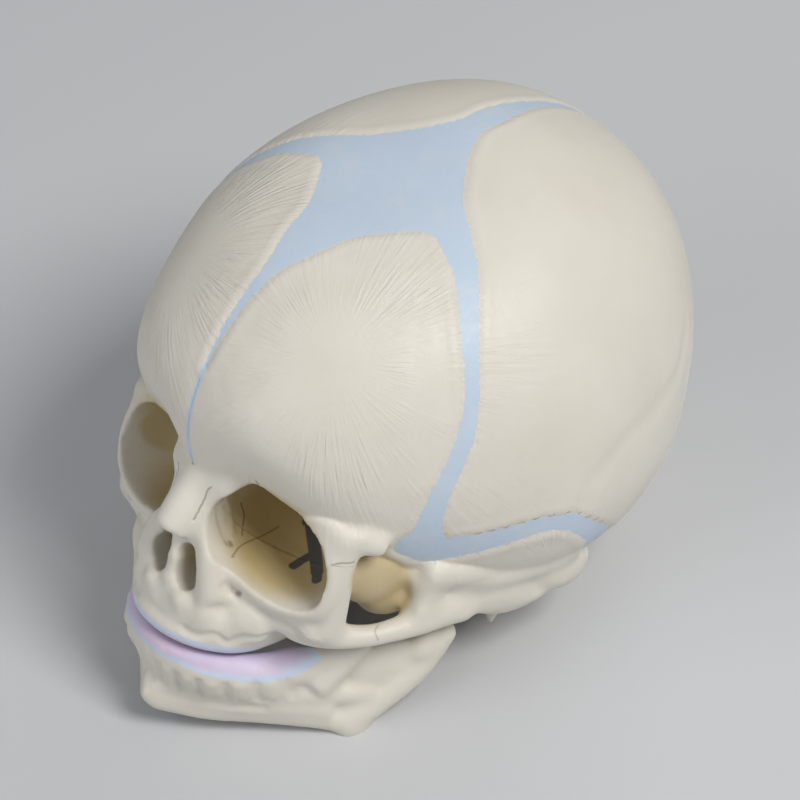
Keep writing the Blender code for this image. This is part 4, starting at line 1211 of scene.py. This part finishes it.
    def bones(self, skull: Thing) -> dict[str, Thing]:
        """Saws the left half into its bones, and makes the midline ones whole."""
        for seam in SEAMS.seams:
            combined(skull, SEAMS.tool(seam, 0), "DIFFERENCE")
        parts = loose_parts(skull)
        spot = BRAINCASE.on_skin(directions([self.parietal_heading]))[0]
        parietal = min(parts, key=lambda part: distances(spot[None], corners_of(part), REACH)[0])
        parts.remove(parietal)
        made = {"parietal_bone_left": parietal}
        rest = joined(parts, "rest")
        for name, prisms in self.cells:
            cell = prism(*prisms[0])
            for further in prisms[1:]:
                combined(cell, prism(*further), "UNION")
            made[name] = combined(copy_of(rest, name), cell, "INTERSECT", keep=True)
            combined(rest, cell, "DIFFERENCE")
        made["frontal_bone_left"] = rest
        for name in self.midline:
            made[name] = made_whole(made[name])
        return made


@dataclass(frozen=True)
class Jaw:
    """Lower jaw as one skin, its halves and the soft joint between them."""

    pivot: Pivot = Pivot()
    joint_half: float = 0.9
    rods: tuple[Rod, ...] = (
        ((0, -48.9, -59.8, 2.9), (4, -45.4, -59.7, 2.9), (8.7, -41.9, -59, 3),
         (14.1, -37, -57.5, 2.9), (20.1, -31.7, -56, 2.9), (24.6, -27, -55.4, 2.9),
         (27.3, -24.4, -55.4, 2.8)),
        ((0, -48.9, -56.8, 3), (4.6, -45.6, -56.5, 3.1), (10.5, -41.5, -55.8, 3.2),
         (15.9, -36.6, -54.5, 3.1), (21, -31.8, -53.5, 3), (25.5, -27, -52.8, 2.9)),
        ((0, -48.2, -53.5, 3.2), (5.6, -45.3, -53.3, 3.4), (11.1, -42, -52.5, 3.4),
         (15.9, -37.9, -51.5, 3.3), (20.4, -32.8, -50.5, 3.1), (24.9, -28, -49.5, 2.8),
         (29.1, -21, -48.5, 2.6)),
        ((0, -48.9, -51, 3.4), (6, -46.9, -51, 3.5), (11.4, -44.2, -50.5, 3.4),
         (15.9, -39.5, -49.5, 3.3), (20.1, -34.3, -48.3, 3)),
        ((0, -49.6, -48.8, 3.6), (6, -48.5, -48.8, 3.6), (11.4, -45.6, -48.5, 3.5),
         (15.9, -40.6, -47.8, 3.2), (19.5, -35.7, -46.5, 3), (23.1, -31.2, -44, 2.8)),
        ((24, -31, -48, 3), (27.3, -27, -40, 2.2), (29.1, -24.5, -34, 1.4)),
        ((27.6, -23.2, -54.3, 3.6), (30, -17.8, -48.6, 3.4), (31.6, -12, -42.8, 3.3),
         (32.4, -9.2, -37.2, 2.4)),
        ((17.5, -35.6, -44.2, 2.2), (21.5, -32.6, -43, 2.5), (25.2, -29.8, -41, 2.4), (27.6, -27, -38, 2)),
    )
    balls: tuple = (
        ((0, -49.6, -58.6), (2, 2.5, 3)),
        ((32, -11.4, -38.8), (2.7, 5.2, 4.2)),
        ((27.9, -22.6, -55.4), (3.2, 4.6, 4.2)),
        ((29.1, -18.8, -43), (2.4, 8.5, 6.5), -21),
        ((32, -8.6, -36.4), (3.2, 2.3, 2.7)),
    )
    core_step: float = 0.8
    core_passes: int = 6
    overlap: float = 4
    skin_step: float = 0.45
    skin_passes: int = 3
    strokes: tuple[Stroke, ...] = (
        Stroke(((2.2, -51.9, -50.6), (2.4, -50.5, -53), (2.7, -49.6, -55.4)), 1.5, -0.42),
        Stroke(((6.3, -50.2, -50.2), (6.5, -49.2, -53), (6.7, -48.4, -55.3)), 1.5, -0.42),
        Stroke(((10.4, -48.6, -49.8), (10.3, -47.4, -52.6), (10.1, -46, -54.8)), 1.5, -0.42),
        Stroke(((14.4, -45.5, -49.2), (14.3, -44.6, -51.6), (14.1, -42.9, -53.8)), 1.5, -0.42),
        Stroke(((18.3, -41.4, -48.2), (18.4, -40.8, -50.3), (18.3, -39.2, -52.4)), 1.5, -0.38),
        Stroke(((22, -36.8, -46.6), (22.2, -36.2, -48.5), (22.2, -35, -50.3)), 1.5, -0.28),
        Stroke(((3, -50, -56.9), (8, -47.4, -57), (13, -43.2, -55.9), (18, -38, -54.4)), 1.7, -0.35),
        Stroke(((4.2, -51.4, -51.2), (4.5, -49.9, -54.3)), 2.1, 0.40),
        Stroke(((8.4, -49.8, -50.8), (8.4, -48.4, -54)), 2.1, 0.42),
        Stroke(((12.4, -47.3, -50.2), (12.2, -46, -53.2)), 2.1, 0.42),
        Stroke(((16.4, -43.6, -49.2), (16.2, -42.6, -52.2)), 2.1, 0.40),
        Stroke(((20.2, -39.2, -48.2), (20.2, -38.2, -50.6)), 2, 0.30),
    )

    def skin(self, seat: Matrix) -> Thing:
        """Left half of the lower jaw with its gum as one fine skin."""
        forms = with_mirrors([rod(rows) for rows in self.rods] + [ball(*row) for row in self.balls])
        core = skinned(joined(forms + LOWER_GUM.rods(), "jaw"), self.core_step, self.core_passes)
        left_of(core, -self.overlap)
        skinned(core, self.skin_step, self.skin_passes)
        worked(core, self.strokes)
        for tool in (self.pivot.bore(), under_table(seat)):
            combined(core, tool, "DIFFERENCE")
        return left_of(core, 0)

    def pieces(self, seat: Matrix) -> dict[str, Thing]:
        """Left half, soft joint and gum by name."""
        left = self.skin(seat)
        gum = made_whole(combined(copy_of(left, "lower_gum"), LOWER_GUM.tool(), "INTERSECT"))
        combined(left, LOWER_GUM.tool(), "DIFFERENCE")
        strip = block((-self.joint_half, -REACH, -REACH), (self.joint_half, REACH, REACH))
        middle = made_whole(combined(copy_of(left, "mandibular_symphysis"), strip, "INTERSECT", keep=True))
        combined(left, strip, "DIFFERENCE")
        return {"mandible_left": largest(left), "mandibular_symphysis": middle, "lower_gum": gum}


def left_of(thing: Thing, side: float) -> Thing:
    """Keeps what lies on the left of a place across the midline."""
    return combined(thing, block((side, -REACH, -REACH), (REACH, REACH, REACH)), "INTERSECT")


def under_table(seat: Matrix) -> Thing:
    """Everything under the table top, in the upright frame."""
    under = block((-REACH, -REACH, -REACH), (REACH, REACH, 0))
    to_metres = Matrix.Scale(MILLIMETRE, 4)
    under.data.transform(seat.inverted() @ to_metres)
    return under


# Scales of the shared effects, for object coordinates in metres
RAY_DRIFT = 55
RAY_COUNT = 14
RAY_SCALE = 2.2
RAY_START = (0.006, 0.014)
RAY_PATCHES = 70
CLOUD_SCALE = 45
GRAIN_SCALE = 900
NOISE_SPAN = (0.3, 0.7)
PATCH_SPAN = (0.35, 0.65)


class Net:
    """Node tree of a material or a group, with short calls to fill it."""

    def __init__(self, tree: bpy.types.NodeTree) -> None:
        """Takes the tree that it fills."""
        self.tree = tree

    def add(self, kind: str, values: dict | None = None, **settings: object) -> bpy.types.Node:
        """Adds a node.

        Args:
            kind: Type of the node, without its ShaderNode prefix.
            values: Input sockets by name or number, with a value or a socket that feeds it.
            settings: Properties of the node.

        Returns:
            The node.
        """
        node = self.tree.nodes.new("ShaderNode" + kind)
        for key, value in settings.items():
            setattr(node, key, value)
        for key, value in (values or {}).items():
            if isinstance(value, Socket):
                self.tree.links.new(value, node.inputs[key])
            else:
                node.inputs[key].default_value = value
        return node

    def maths(self, operation: str, *values: object) -> Socket:
        """Result of a Math node."""
        return self.add("Math", dict(enumerate(values)), operation=operation).outputs[0]

    def vectors(self, operation: str, *values: object) -> Socket:
        """Result of a Vector Math node."""
        node = self.add("VectorMath", dict(enumerate(values)), operation=operation)
        return node.outputs["Value" if operation in ("DOT_PRODUCT", "LENGTH") else "Vector"]

    def scaled(self, vector: Socket, factor: object) -> Socket:
        """Vector times a factor."""
        return self.add("VectorMath", {0: vector, "Scale": factor}, operation="SCALE").outputs[0]

    def place(self) -> Socket:
        """Object coordinates."""
        return self.add("TexCoord").outputs["Object"]

    def noise(self, where: Socket, scale: object, detail: float = 3) -> Socket:
        """Value of a noise."""
        return self.add("TexNoise", {"Vector": where, "Scale": scale, "Detail": detail}).outputs[0]

    def mix(self, share: object, first: object, second: object) -> Socket:
        """Colour between two."""
        node = self.add("Mix", data_type="RGBA")
        for socket, value in ((node.inputs[0], share), (node.inputs[6], first), (node.inputs[7], second)):
            if isinstance(value, Socket):
                self.tree.links.new(value, socket)
            elif isinstance(value, tuple):
                socket.default_value = (*value, 1)
            else:
                socket.default_value = value
        return node.outputs[2]

    def span(
        self, value: Socket, low: object, high: object, to_low: float = 0, to_high: float = 1,
    ) -> Socket:
        """Value moved from one range to another, and held inside it."""
        return self.add("MapRange", {0: value, 1: low, 2: high, 3: to_low, 4: to_high}).outputs[0]

    def mask(self, name: str) -> Socket:
        """Colour mask that the surface carries."""
        return self.add("Attribute", attribute_name=name).outputs["Fac"]


def effect_group(name: str, inputs: dict[str, str], outputs: dict[str, str]) -> tuple[bpy.types.NodeTree, Net]:
    """New shader node group with named sockets.

    Args:
        name: Name of the group.
        inputs: Socket types by name.
        outputs: Socket types by name.

    Returns:
        The group and a net to fill it.
    """
    tree = bpy.data.node_groups.new(name, "ShaderNodeTree")
    for way, sockets in (("INPUT", inputs), ("OUTPUT", outputs)):
        for label, kind in sockets.items():
            tree.interface.new_socket(label, in_out=way, socket_type="NodeSocket" + kind)
    return tree, Net(tree)


def ray_group() -> bpy.types.NodeTree:
    """Fine lines that run out from the middle of a plate bone, the same on both sides."""
    tree, net = effect_group("plate_rays", {"Middle": "Vector", "Facing": "Vector", "Near": "Float", "Far": "Float"},
                             {"Height": "Float"})
    source = tree.nodes.new("NodeGroupInput").outputs
    sink = tree.nodes.new("NodeGroupOutput")
    where = net.place()
    whole = net.add("SeparateXYZ", {0: where})
    side = net.maths("ABSOLUTE", whole.outputs[0])
    spot = net.add("CombineXYZ", {0: side, 1: whole.outputs[1], 2: whole.outputs[2]}).outputs[0]
    away = net.vectors("SUBTRACT", spot, source["Middle"])
    lift = net.vectors("DOT_PRODUCT", away, source["Facing"])
    flat = net.vectors("SUBTRACT", away, net.scaled(source["Facing"], lift))
    reach = net.vectors("LENGTH", flat)
    drawn = net.scaled(source["Facing"], net.maths("MULTIPLY", reach, RAY_DRIFT))
    spread = net.scaled(net.vectors("NORMALIZE", flat), RAY_COUNT)
    streak = net.noise(net.vectors("ADD", spread, drawn), RAY_SCALE, 4)
    ending = net.maths("SUBTRACT", 1, net.span(reach, source["Near"], source["Far"]))
    inside = net.maths("MULTIPLY", net.span(reach, *RAY_START), ending)
    patch = net.span(net.noise(where, RAY_PATCHES, 2), *PATCH_SPAN)
    tree.links.new(net.maths("MULTIPLY", net.maths("MULTIPLY", streak, inside), patch), sink.inputs[0])
    return tree


def wear_group() -> bpy.types.NodeTree:
    """Cloudy tone and fine grain of a cast surface."""
    tree, net = effect_group("cast_grain", {}, {"Cloud": "Float", "Grain": "Float"})
    sink = tree.nodes.new("NodeGroupOutput")
    where = net.place()
    tree.links.new(net.span(net.noise(where, CLOUD_SCALE, 4), *NOISE_SPAN), sink.inputs[0])
    tree.links.new(net.noise(where, GRAIN_SCALE), sink.inputs[1])
    return tree


@dataclass(frozen=True)
class Finish:
    """Sizes and tones that every finish has."""

    name: str
    light: tuple[float, float, float]
    dark: tuple[float, float, float]
    roughness: tuple[float, float] = (0.42, 0.56)
    grain_height: float = 0.00006

    def start(self, groups: dict[str, bpy.types.NodeTree]) -> tuple[bpy.types.Material, Net, bpy.types.Node]:
        """Empty material with its grain group and its Principled shader."""
        material = bpy.data.materials.new(self.name)
        material.use_nodes = True
        net = Net(material.node_tree)
        surface = material.node_tree.nodes["Principled BSDF"]
        grain = net.add("Group", node_tree=groups["grain"])
        net.tree.links.new(net.span(grain.outputs["Grain"], *NOISE_SPAN, *self.roughness), surface.inputs["Roughness"])
        return material, net, grain

    def bump(self, net: Net, height: Socket, distance: float) -> None:
        """Feeds a height to the shader's normal."""
        surface = net.tree.nodes["Principled BSDF"]
        bump = net.add("Bump", {"Height": height, "Distance": distance})
        net.tree.links.new(bump.outputs[0], surface.inputs["Normal"])


@dataclass(frozen=True)
class BoneFinish(Finish):
    """Ivory cast bone with fine rays on the plate bones, ochre painted shade deep in the hollows, cracks and painted
    marks.
    """

    # Ochre of the painted shade deep in the eye sockets, the nose and the hollow behind the cheek bone
    shade_ochre: tuple[float, float, float] = (0.52, 0.40, 0.175)
    crack: tuple[float, float, float] = (0.10, 0.065, 0.03)
    ink: tuple[float, float, float] = (0.115, 0.115, 0.125)
    wash: tuple[float, float, float] = (0.56, 0.665, 0.785)
    bosses: tuple = ()
    ray_height: float = 0.00052
    grain_share: float = 0.10
    lump_scale: float = 1400
    crack_depth: float = -0.12
    # How far the cloud thins the painted shade in the hollows
    hollow_shade_span: tuple[float, float] = (0.85, 1)

    def material(self, groups: dict[str, bpy.types.NodeTree]) -> bpy.types.Material:
        """The finish as a material."""
        material, net, grain = self.start(groups)
        surface = net.tree.nodes["Principled BSDF"]
        heights = [net.maths("MULTIPLY", grain.outputs["Grain"], self.grain_share)]
        for middle, facing, near, far in self.bosses:
            rays = net.add("Group", {"Middle": middle, "Facing": facing, "Near": near, "Far": far},
                           node_tree=groups["rays"])
            heights.append(rays.outputs[0])
        heights.append(net.maths("MULTIPLY", net.mask("rough"), net.noise(net.place(), self.lump_scale)))
        heights.append(net.maths("MULTIPLY", net.mask("crack"), self.crack_depth))
        total = heights[0]
        for height in heights[1:]:
            total = net.maths("ADD", total, height)
        self.bump(net, total, self.ray_height)
        colour = net.mix(grain.outputs["Cloud"], self.light, self.dark)
        # Painted shade: ochre laid over the bone where the mask marks the deep hollows, broken up by the cloud
        hollow_shade = net.maths("MULTIPLY", net.mask("hollow_shade"), net.span(grain.outputs["Cloud"], 0, 1, *self.hollow_shade_span))
        colour = net.mix(hollow_shade, colour, self.shade_ochre)
        for mask, tone in (("wash", self.wash), ("crack", self.crack), ("ink", self.ink)):
            colour = net.mix(net.mask(mask), colour, tone)
        net.tree.links.new(colour, surface.inputs["Base Color"])
        return material


@dataclass(frozen=True)
class SoftFinish(Finish):
    """Painted soft seam or gum: two tones that run into each other, with thin streaks."""

    streak: tuple[float, float, float] = (0.62, 0.70, 0.84)
    border: tuple[float, float, float] = (0.60, 0.70, 0.84)
    bone: tuple[float, float, float] = (0.73, 0.70, 0.625)
    streak_scale: float = 160
    streak_span: tuple[float, float] = (0.52, 0.72)
    streak_share: float = 0.45

    def material(self, groups: dict[str, bpy.types.NodeTree]) -> bpy.types.Material:
        """The finish as a material."""
        material, net, grain = self.start(groups)
        surface = net.tree.nodes["Principled BSDF"]
        colour = net.mix(grain.outputs["Cloud"], self.light, self.dark)
        streaks = net.span(net.noise(net.place(), self.streak_scale, 2), *self.streak_span)
        colour = net.mix(net.maths("MULTIPLY", streaks, self.streak_share), colour, self.streak)
        colour = net.mix(net.mask("border"), colour, self.border)
        colour = net.mix(net.mask("bone"), colour, self.bone)
        net.tree.links.new(colour, surface.inputs["Base Color"])
        self.bump(net, grain.outputs["Grain"], self.grain_height)
        return material


@dataclass(frozen=True)
class SteelFinish(Finish):
    """Plain turned steel."""

    def material(self, groups: dict[str, bpy.types.NodeTree]) -> bpy.types.Material:
        """The finish as a material."""
        material, net, grain = self.start(groups)
        surface = net.tree.nodes["Principled BSDF"]
        surface.inputs["Metallic"].default_value = 1
        colour = net.mix(grain.outputs["Cloud"], self.light, self.dark)
        net.tree.links.new(colour, surface.inputs["Base Color"])
        self.bump(net, grain.outputs["Grain"], self.grain_height)
        return material


FINISHES = {
    Slot.BONE: BoneFinish("ivory_bone", (0.755, 0.722, 0.645), (0.70, 0.663, 0.58)),
    Slot.SEAM: SoftFinish("soft_seam_blue", (0.56, 0.665, 0.785), (0.52, 0.625, 0.75), (0.45, 0.58),
                          streak=(0.62, 0.68, 0.74)),
    Slot.GUM: SoftFinish("gum_lilac", (0.70, 0.63, 0.79), (0.64, 0.56, 0.73), (0.40, 0.55),
                         streak=(0.72, 0.47, 0.62)),
    Slot.STEEL: SteelFinish("pin_steel", (0.62, 0.62, 0.60), (0.52, 0.52, 0.51), (0.25, 0.35)),
}


@dataclass
class SkullModel:
    """All pieces of the model, set on the frame's bodies."""

    cranium: Cranium = field(default_factory=Cranium)
    jaw: Jaw = field(default_factory=Jaw)
    paints: tuple[Paint, ...] = (
        # The first four masks paint ochre shade into the eye socket, its inner wall, the nose and the hollow behind
        # the cheek bone
        Paint("hollow_shade", ((14.8, -37.2, -16), (9, -25, -15)), 11, 15.6, 0.92),
        Paint("hollow_shade", ((4.8, -40.8, -12.5), (5.2, -40.2, -16.5), (6.2, -40, -21)), 2.6, 5, 0.8),
        Paint("hollow_shade", ((3, -46.5, -27), (3.5, -42, -29)), 2.2, 5.5, 0.75),
        Paint("hollow_shade", ((27, -33, -17), (28, -26, -22), (27, -19, -27)), 5.4, 7.6, 0.85),
        Paint("wash", ((0, -54.6, 14.2), (0, -55.3, 9.8), (0, -55.6, 4), (0, -54.6, -1), (0, -52.6, -6)), 0.45, 0.9),
        Paint("crack", ((0, -55, 11.5), (0, -55.5, 7), (0, -55.2, 0.9), (0, -53.6, -3.5), (0, -52.2, -7.2)),
              0.05, 0.2, 0.35),
        Paint("crack", ((0, -52.2, -7.3),), 0.25, 0.5, 0.5),
        Paint("crack", ((4.8, -50.9, -10), (4.3, -51.2, -11), (4.3, -51.5, -12.9), (4.2, -52.2, -15.5),
                        (4.1, -52.7, -17.1)), 0.06, 0.28, 0.55),
        Paint("crack", ((2.4, -39.5, -17.6), (3.3, -38.9, -19.9), (5.6, -40.7, -22.5)), 0.08, 0.28, 0.7),
        Paint("crack", ((8.8, -45.5, -24.3), (7.1, -41.8, -23.6), (6.7, -35.8, -22.9), (6.6, -32.4, -22)),
              0.06, 0.26, 0.6),
        Paint("crack", ((6.4, -44.2, -22.6), (6.6, -44.2, -23.2)), 0.1, 0.8, 0.55),
        Paint("crack", ((13.2, -46.3, -29.7),), 0.2, 0.9, 0.5),
        Paint("crack", ((12.6, -46.7, -5.7), (12.4, -47.3, -4.3)), 0.1, 0.35, 0.6),
        Paint("crack", ((30, -41.4, -14.5), (31, -40.2, -13.8), (31.9, -37.8, -13.6)), 0.08, 0.3, 0.5),
        Paint("crack", ((33, -28.3, -29.3), (33.9, -29.8, -29.9), (34.8, -29.4, -31.3)), 0.05, 0.25, 0.4),
        Paint("rough", ((26, -41.1, -32.2), (27.4, -40.4, -32.9), (28.9, -39.8, -32.5)), 1, 2.2),
        Paint("bone", ((0, -50, -44), (0, -50, -55.5)), 4.5, 6, only="mandibular"),
    )
    fissure: tuple[Paint, ...] = (
        Paint("ink", ((9.5, -27.2, -20.6), (10.7, -27.7, -21.5), (13.4, -29.1, -23), (16.3, -30.8, -24.2),
                      (18.9, -32.6, -24.9)), 1.15, 1.35),
        Paint("ink", ((18.9, -32.6, -24.9), (20.6, -34.1, -25.3)), 0.9, 1.1),
        Paint("ink", ((14.7, -31, -24.2), (14.6, -32.7, -24.7), (14.7, -34.9, -25.5)), 0.75, 0.95),
    )

    bosses: tuple = (((26, 22), 0.022, 0.042), ((94, -27), 0.012, 0.024))

    def seat(self) -> Matrix:
        """Upright frame in millimetres to the standing pose in metres."""
        hinge = frame["joints"][0]["pos_m"]
        return (
            Matrix.Translation(hinge) @ Matrix.Rotation(math.radians(-STANCE_PITCH), 4, "X")
            @ Matrix.Scale(MILLIMETRE, 4) @ Matrix.Translation([-part for part in HINGE])
        )

    def finishes(self, seat: Matrix) -> dict[Slot, bpy.types.Material]:
        """Materials by slot."""
        groups = {"grain": wear_group(), "rays": ray_group()}
        bosses = []
        for angles, near, far in self.bosses:
            heading = directions([angles])
            middle = seat @ Vector(BRAINCASE.on_skin(heading)[0])
            facing = (seat.to_3x3() @ Vector(heading[0])).normalized()
            bosses.append((tuple(middle), tuple(facing), near, far))
        looks = {**FINISHES, Slot.BONE: replace(FINISHES[Slot.BONE], bosses=tuple(bosses))}
        return {slot: look.material(groups) for slot, look in looks.items()}

    def slot_of(self, name: str) -> Slot:
        """Material slot of a node's piece."""
        if "gum" in name:
            return Slot.GUM
        if "pin" in name:
            return Slot.STEEL
        return Slot.SEAM if any(word in name for word in ("fontanelle", "seam", "symphysis")) else Slot.BONE

    def body_of(self, name: str) -> Body:
        """Body on which a node's piece rides."""
        return Body.JAW if name.startswith("mandib") or name == "lower_gum" else Body.CRANIUM

    def pieces(self, seat: Matrix) -> dict[str, Thing]:
        """Every new piece by the node that it stands for, in the upright frame."""
        skull = self.cranium.skin(seat)
        log.info("skull skin: %d faces", len(skull.data.polygons))
        gum = made_whole(combined(copy_of(skull, "upper_gum"), UPPER_GUM.tool(), "INTERSECT"))
        combined(skull, UPPER_GUM.tool(), "DIFFERENCE")
        made = self.cranium.bones(skull)
        made["upper_gum"] = gum
        made.update(SEAMS.membranes())
        made.update(self.jaw.pieces(seat))
        made["tympanic_ring_left"] = self.cranium.ear.form(0)
        UPPER_GUM.edge(made["upper_gum"])
        LOWER_GUM.edge(made["lower_gum"])
        marks = self.paints + SEAMS.tooth_marks() + self.fissure
        for name in list(made):
            painted(made[name], marks)
            if name.endswith("_left"):
                other = name.replace("_left", "_right")
                made[other] = mirror_of(made[name], other)
        return made

    def build(self) -> None:
        """Makes the pieces and sets them on the frame."""
        seat = self.seat()
        looks = self.finishes(seat)
        for name, piece in self.pieces(seat).items():
            piece.name = piece.data.name = name.replace("_left", "_l").replace("_right", "_r") + "_skin"
            piece.data.transform(seat)
            piece.data.materials.clear()
            piece.data.materials.append(looks[self.slot_of(name)])
            piece.data.shade_smooth()
            piece.data.set_sharp_from_angle(angle=math.radians(SHARP_ANGLE))
            workshop().objects.unlink(piece)
            bpy.context.scene.collection.objects.link(piece)
            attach(piece, self.body_of(name).value)
            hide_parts(name)
            log.info("%s: %d faces", piece.name, len(piece.data.polygons))
        for name in ("jaw_pin_left", "jaw_pin_right"):
            pin = frame["nodes"][name]
            pin.data.materials.clear()
            pin.data.materials.append(looks[Slot.STEEL])
        bpy.data.collections.remove(workshop())


@dataclass(frozen=True)
class Studio:
    """Pale table, soft light and the photograph's viewpoint."""

    turn: float = 41.44
    lift: float = 28.03
    roll: float = 13.60
    away: float = 843
    shift: tuple[float, float] = (-0.94, -4.26)
    sensor: float = 36
    focal_share: float = 4389 / 800
    clip: tuple[float, float] = (0.05, 20)
    table: tuple[float, float, float] = (0.62, 0.63, 0.65)
    table_half: float = 4
    table_roughness: float = 0.7
    clouding: float = 0.97
    sky: tuple[float, float, float] = (0.80, 0.82, 0.86)
    sky_strength: float = 0.2
    aim: Point = (0, 0, 0.045)
    lamps: tuple = (
        ("key", (0.85, 0.15, 1.05), 0.5, 12.5, (1, 0.985, 0.96)),
        ("fill", (-0.15, -1, 0.65), 0.9, 3.9, (1, 1, 1)),
        ("back", (-0.3, 0.9, 0.8), 0.7, 1.6, (1, 1, 1)),
    )

    def camera(self, seat: Matrix) -> None:
        """Camera at the photograph's angle, placed in the upright frame and set down with the skull."""
        turn, lift, roll = (math.radians(angle) for angle in (self.turn, self.lift, self.roll))
        back = Vector((math.sin(turn) * math.cos(lift), -math.cos(turn) * math.cos(lift), math.sin(lift)))
        level = Vector((math.cos(turn), math.sin(turn), 0))
        above = back.cross(level)
        across = level * math.cos(roll) + above * math.sin(roll)
        up = above * math.cos(roll) - level * math.sin(roll)
        place = Matrix((across, up, back)).transposed().to_4x4()
        place.translation = back * self.away + across * self.shift[0] + up * self.shift[1]
        lens = bpy.data.cameras.new("view")
        lens.sensor_width = self.sensor
        lens.lens = self.focal_share * self.sensor
        lens.clip_start, lens.clip_end = self.clip
        camera = bpy.data.objects.new("view", lens)
        bpy.context.scene.collection.objects.link(camera)
        placed = seat @ place
        camera.matrix_world = Matrix.LocRotScale(placed.to_translation(), placed.to_quaternion(), None)
        bpy.context.scene.camera = camera

    def lamp(self, name: str, place: Point, size: float, power: float, tone: Point) -> None:
        """Square soft lamp that faces the model."""
        light = bpy.data.lights.new(name, "AREA")
        light.size = size
        light.energy = power
        light.color = tone
        lamp = bpy.data.objects.new(name, light)
        lamp.location = place
        ahead = Vector(self.aim) - Vector(place)
        lamp.rotation_euler = ahead.to_track_quat("-Z", "Y").to_euler()
        bpy.context.scene.collection.objects.link(lamp)

    def floor(self) -> None:
        """Plain pale table top."""
        form = bmesh.new()
        bmesh.ops.create_grid(form, x_segments=1, y_segments=1, size=self.table_half)
        mesh = bpy.data.meshes.new("table_top")
        form.to_mesh(mesh)
        form.free()
        table = bpy.data.objects.new("table_top", mesh)
        bpy.context.scene.collection.objects.link(table)
        material = bpy.data.materials.new("pale_table")
        material.use_nodes = True
        net = Net(material.node_tree)
        surface = net.tree.nodes["Principled BSDF"]
        surface.inputs["Roughness"].default_value = self.table_roughness
        darker = tuple(part * self.clouding for part in self.table)
        net.tree.links.new(net.mix(net.noise(net.place(), 3), self.table, darker), surface.inputs["Base Color"])
        table.data.materials.append(material)

    def build(self, seat: Matrix) -> None:
        """Sets the stage, the light and the camera."""
        scene = bpy.context.scene
        scene.view_settings.view_transform = "Standard"
        world = bpy.data.worlds.new("studio")
        scene.world = world
        world.use_nodes = True
        background = world.node_tree.nodes["Background"]
        background.inputs[0].default_value = (*self.sky, 1)
        background.inputs[1].default_value = self.sky_strength
        self.floor()
        for lamp in self.lamps:
            self.lamp(*lamp)
        self.camera(seat)


def main() -> None:
    """Builds the model and its stage."""
    logging.basicConfig(level=logging.INFO, format="%(message)s")
    model = SkullModel()
    model.build()
    Studio().build(model.seat())


if __name__ == "__main__":
    main()
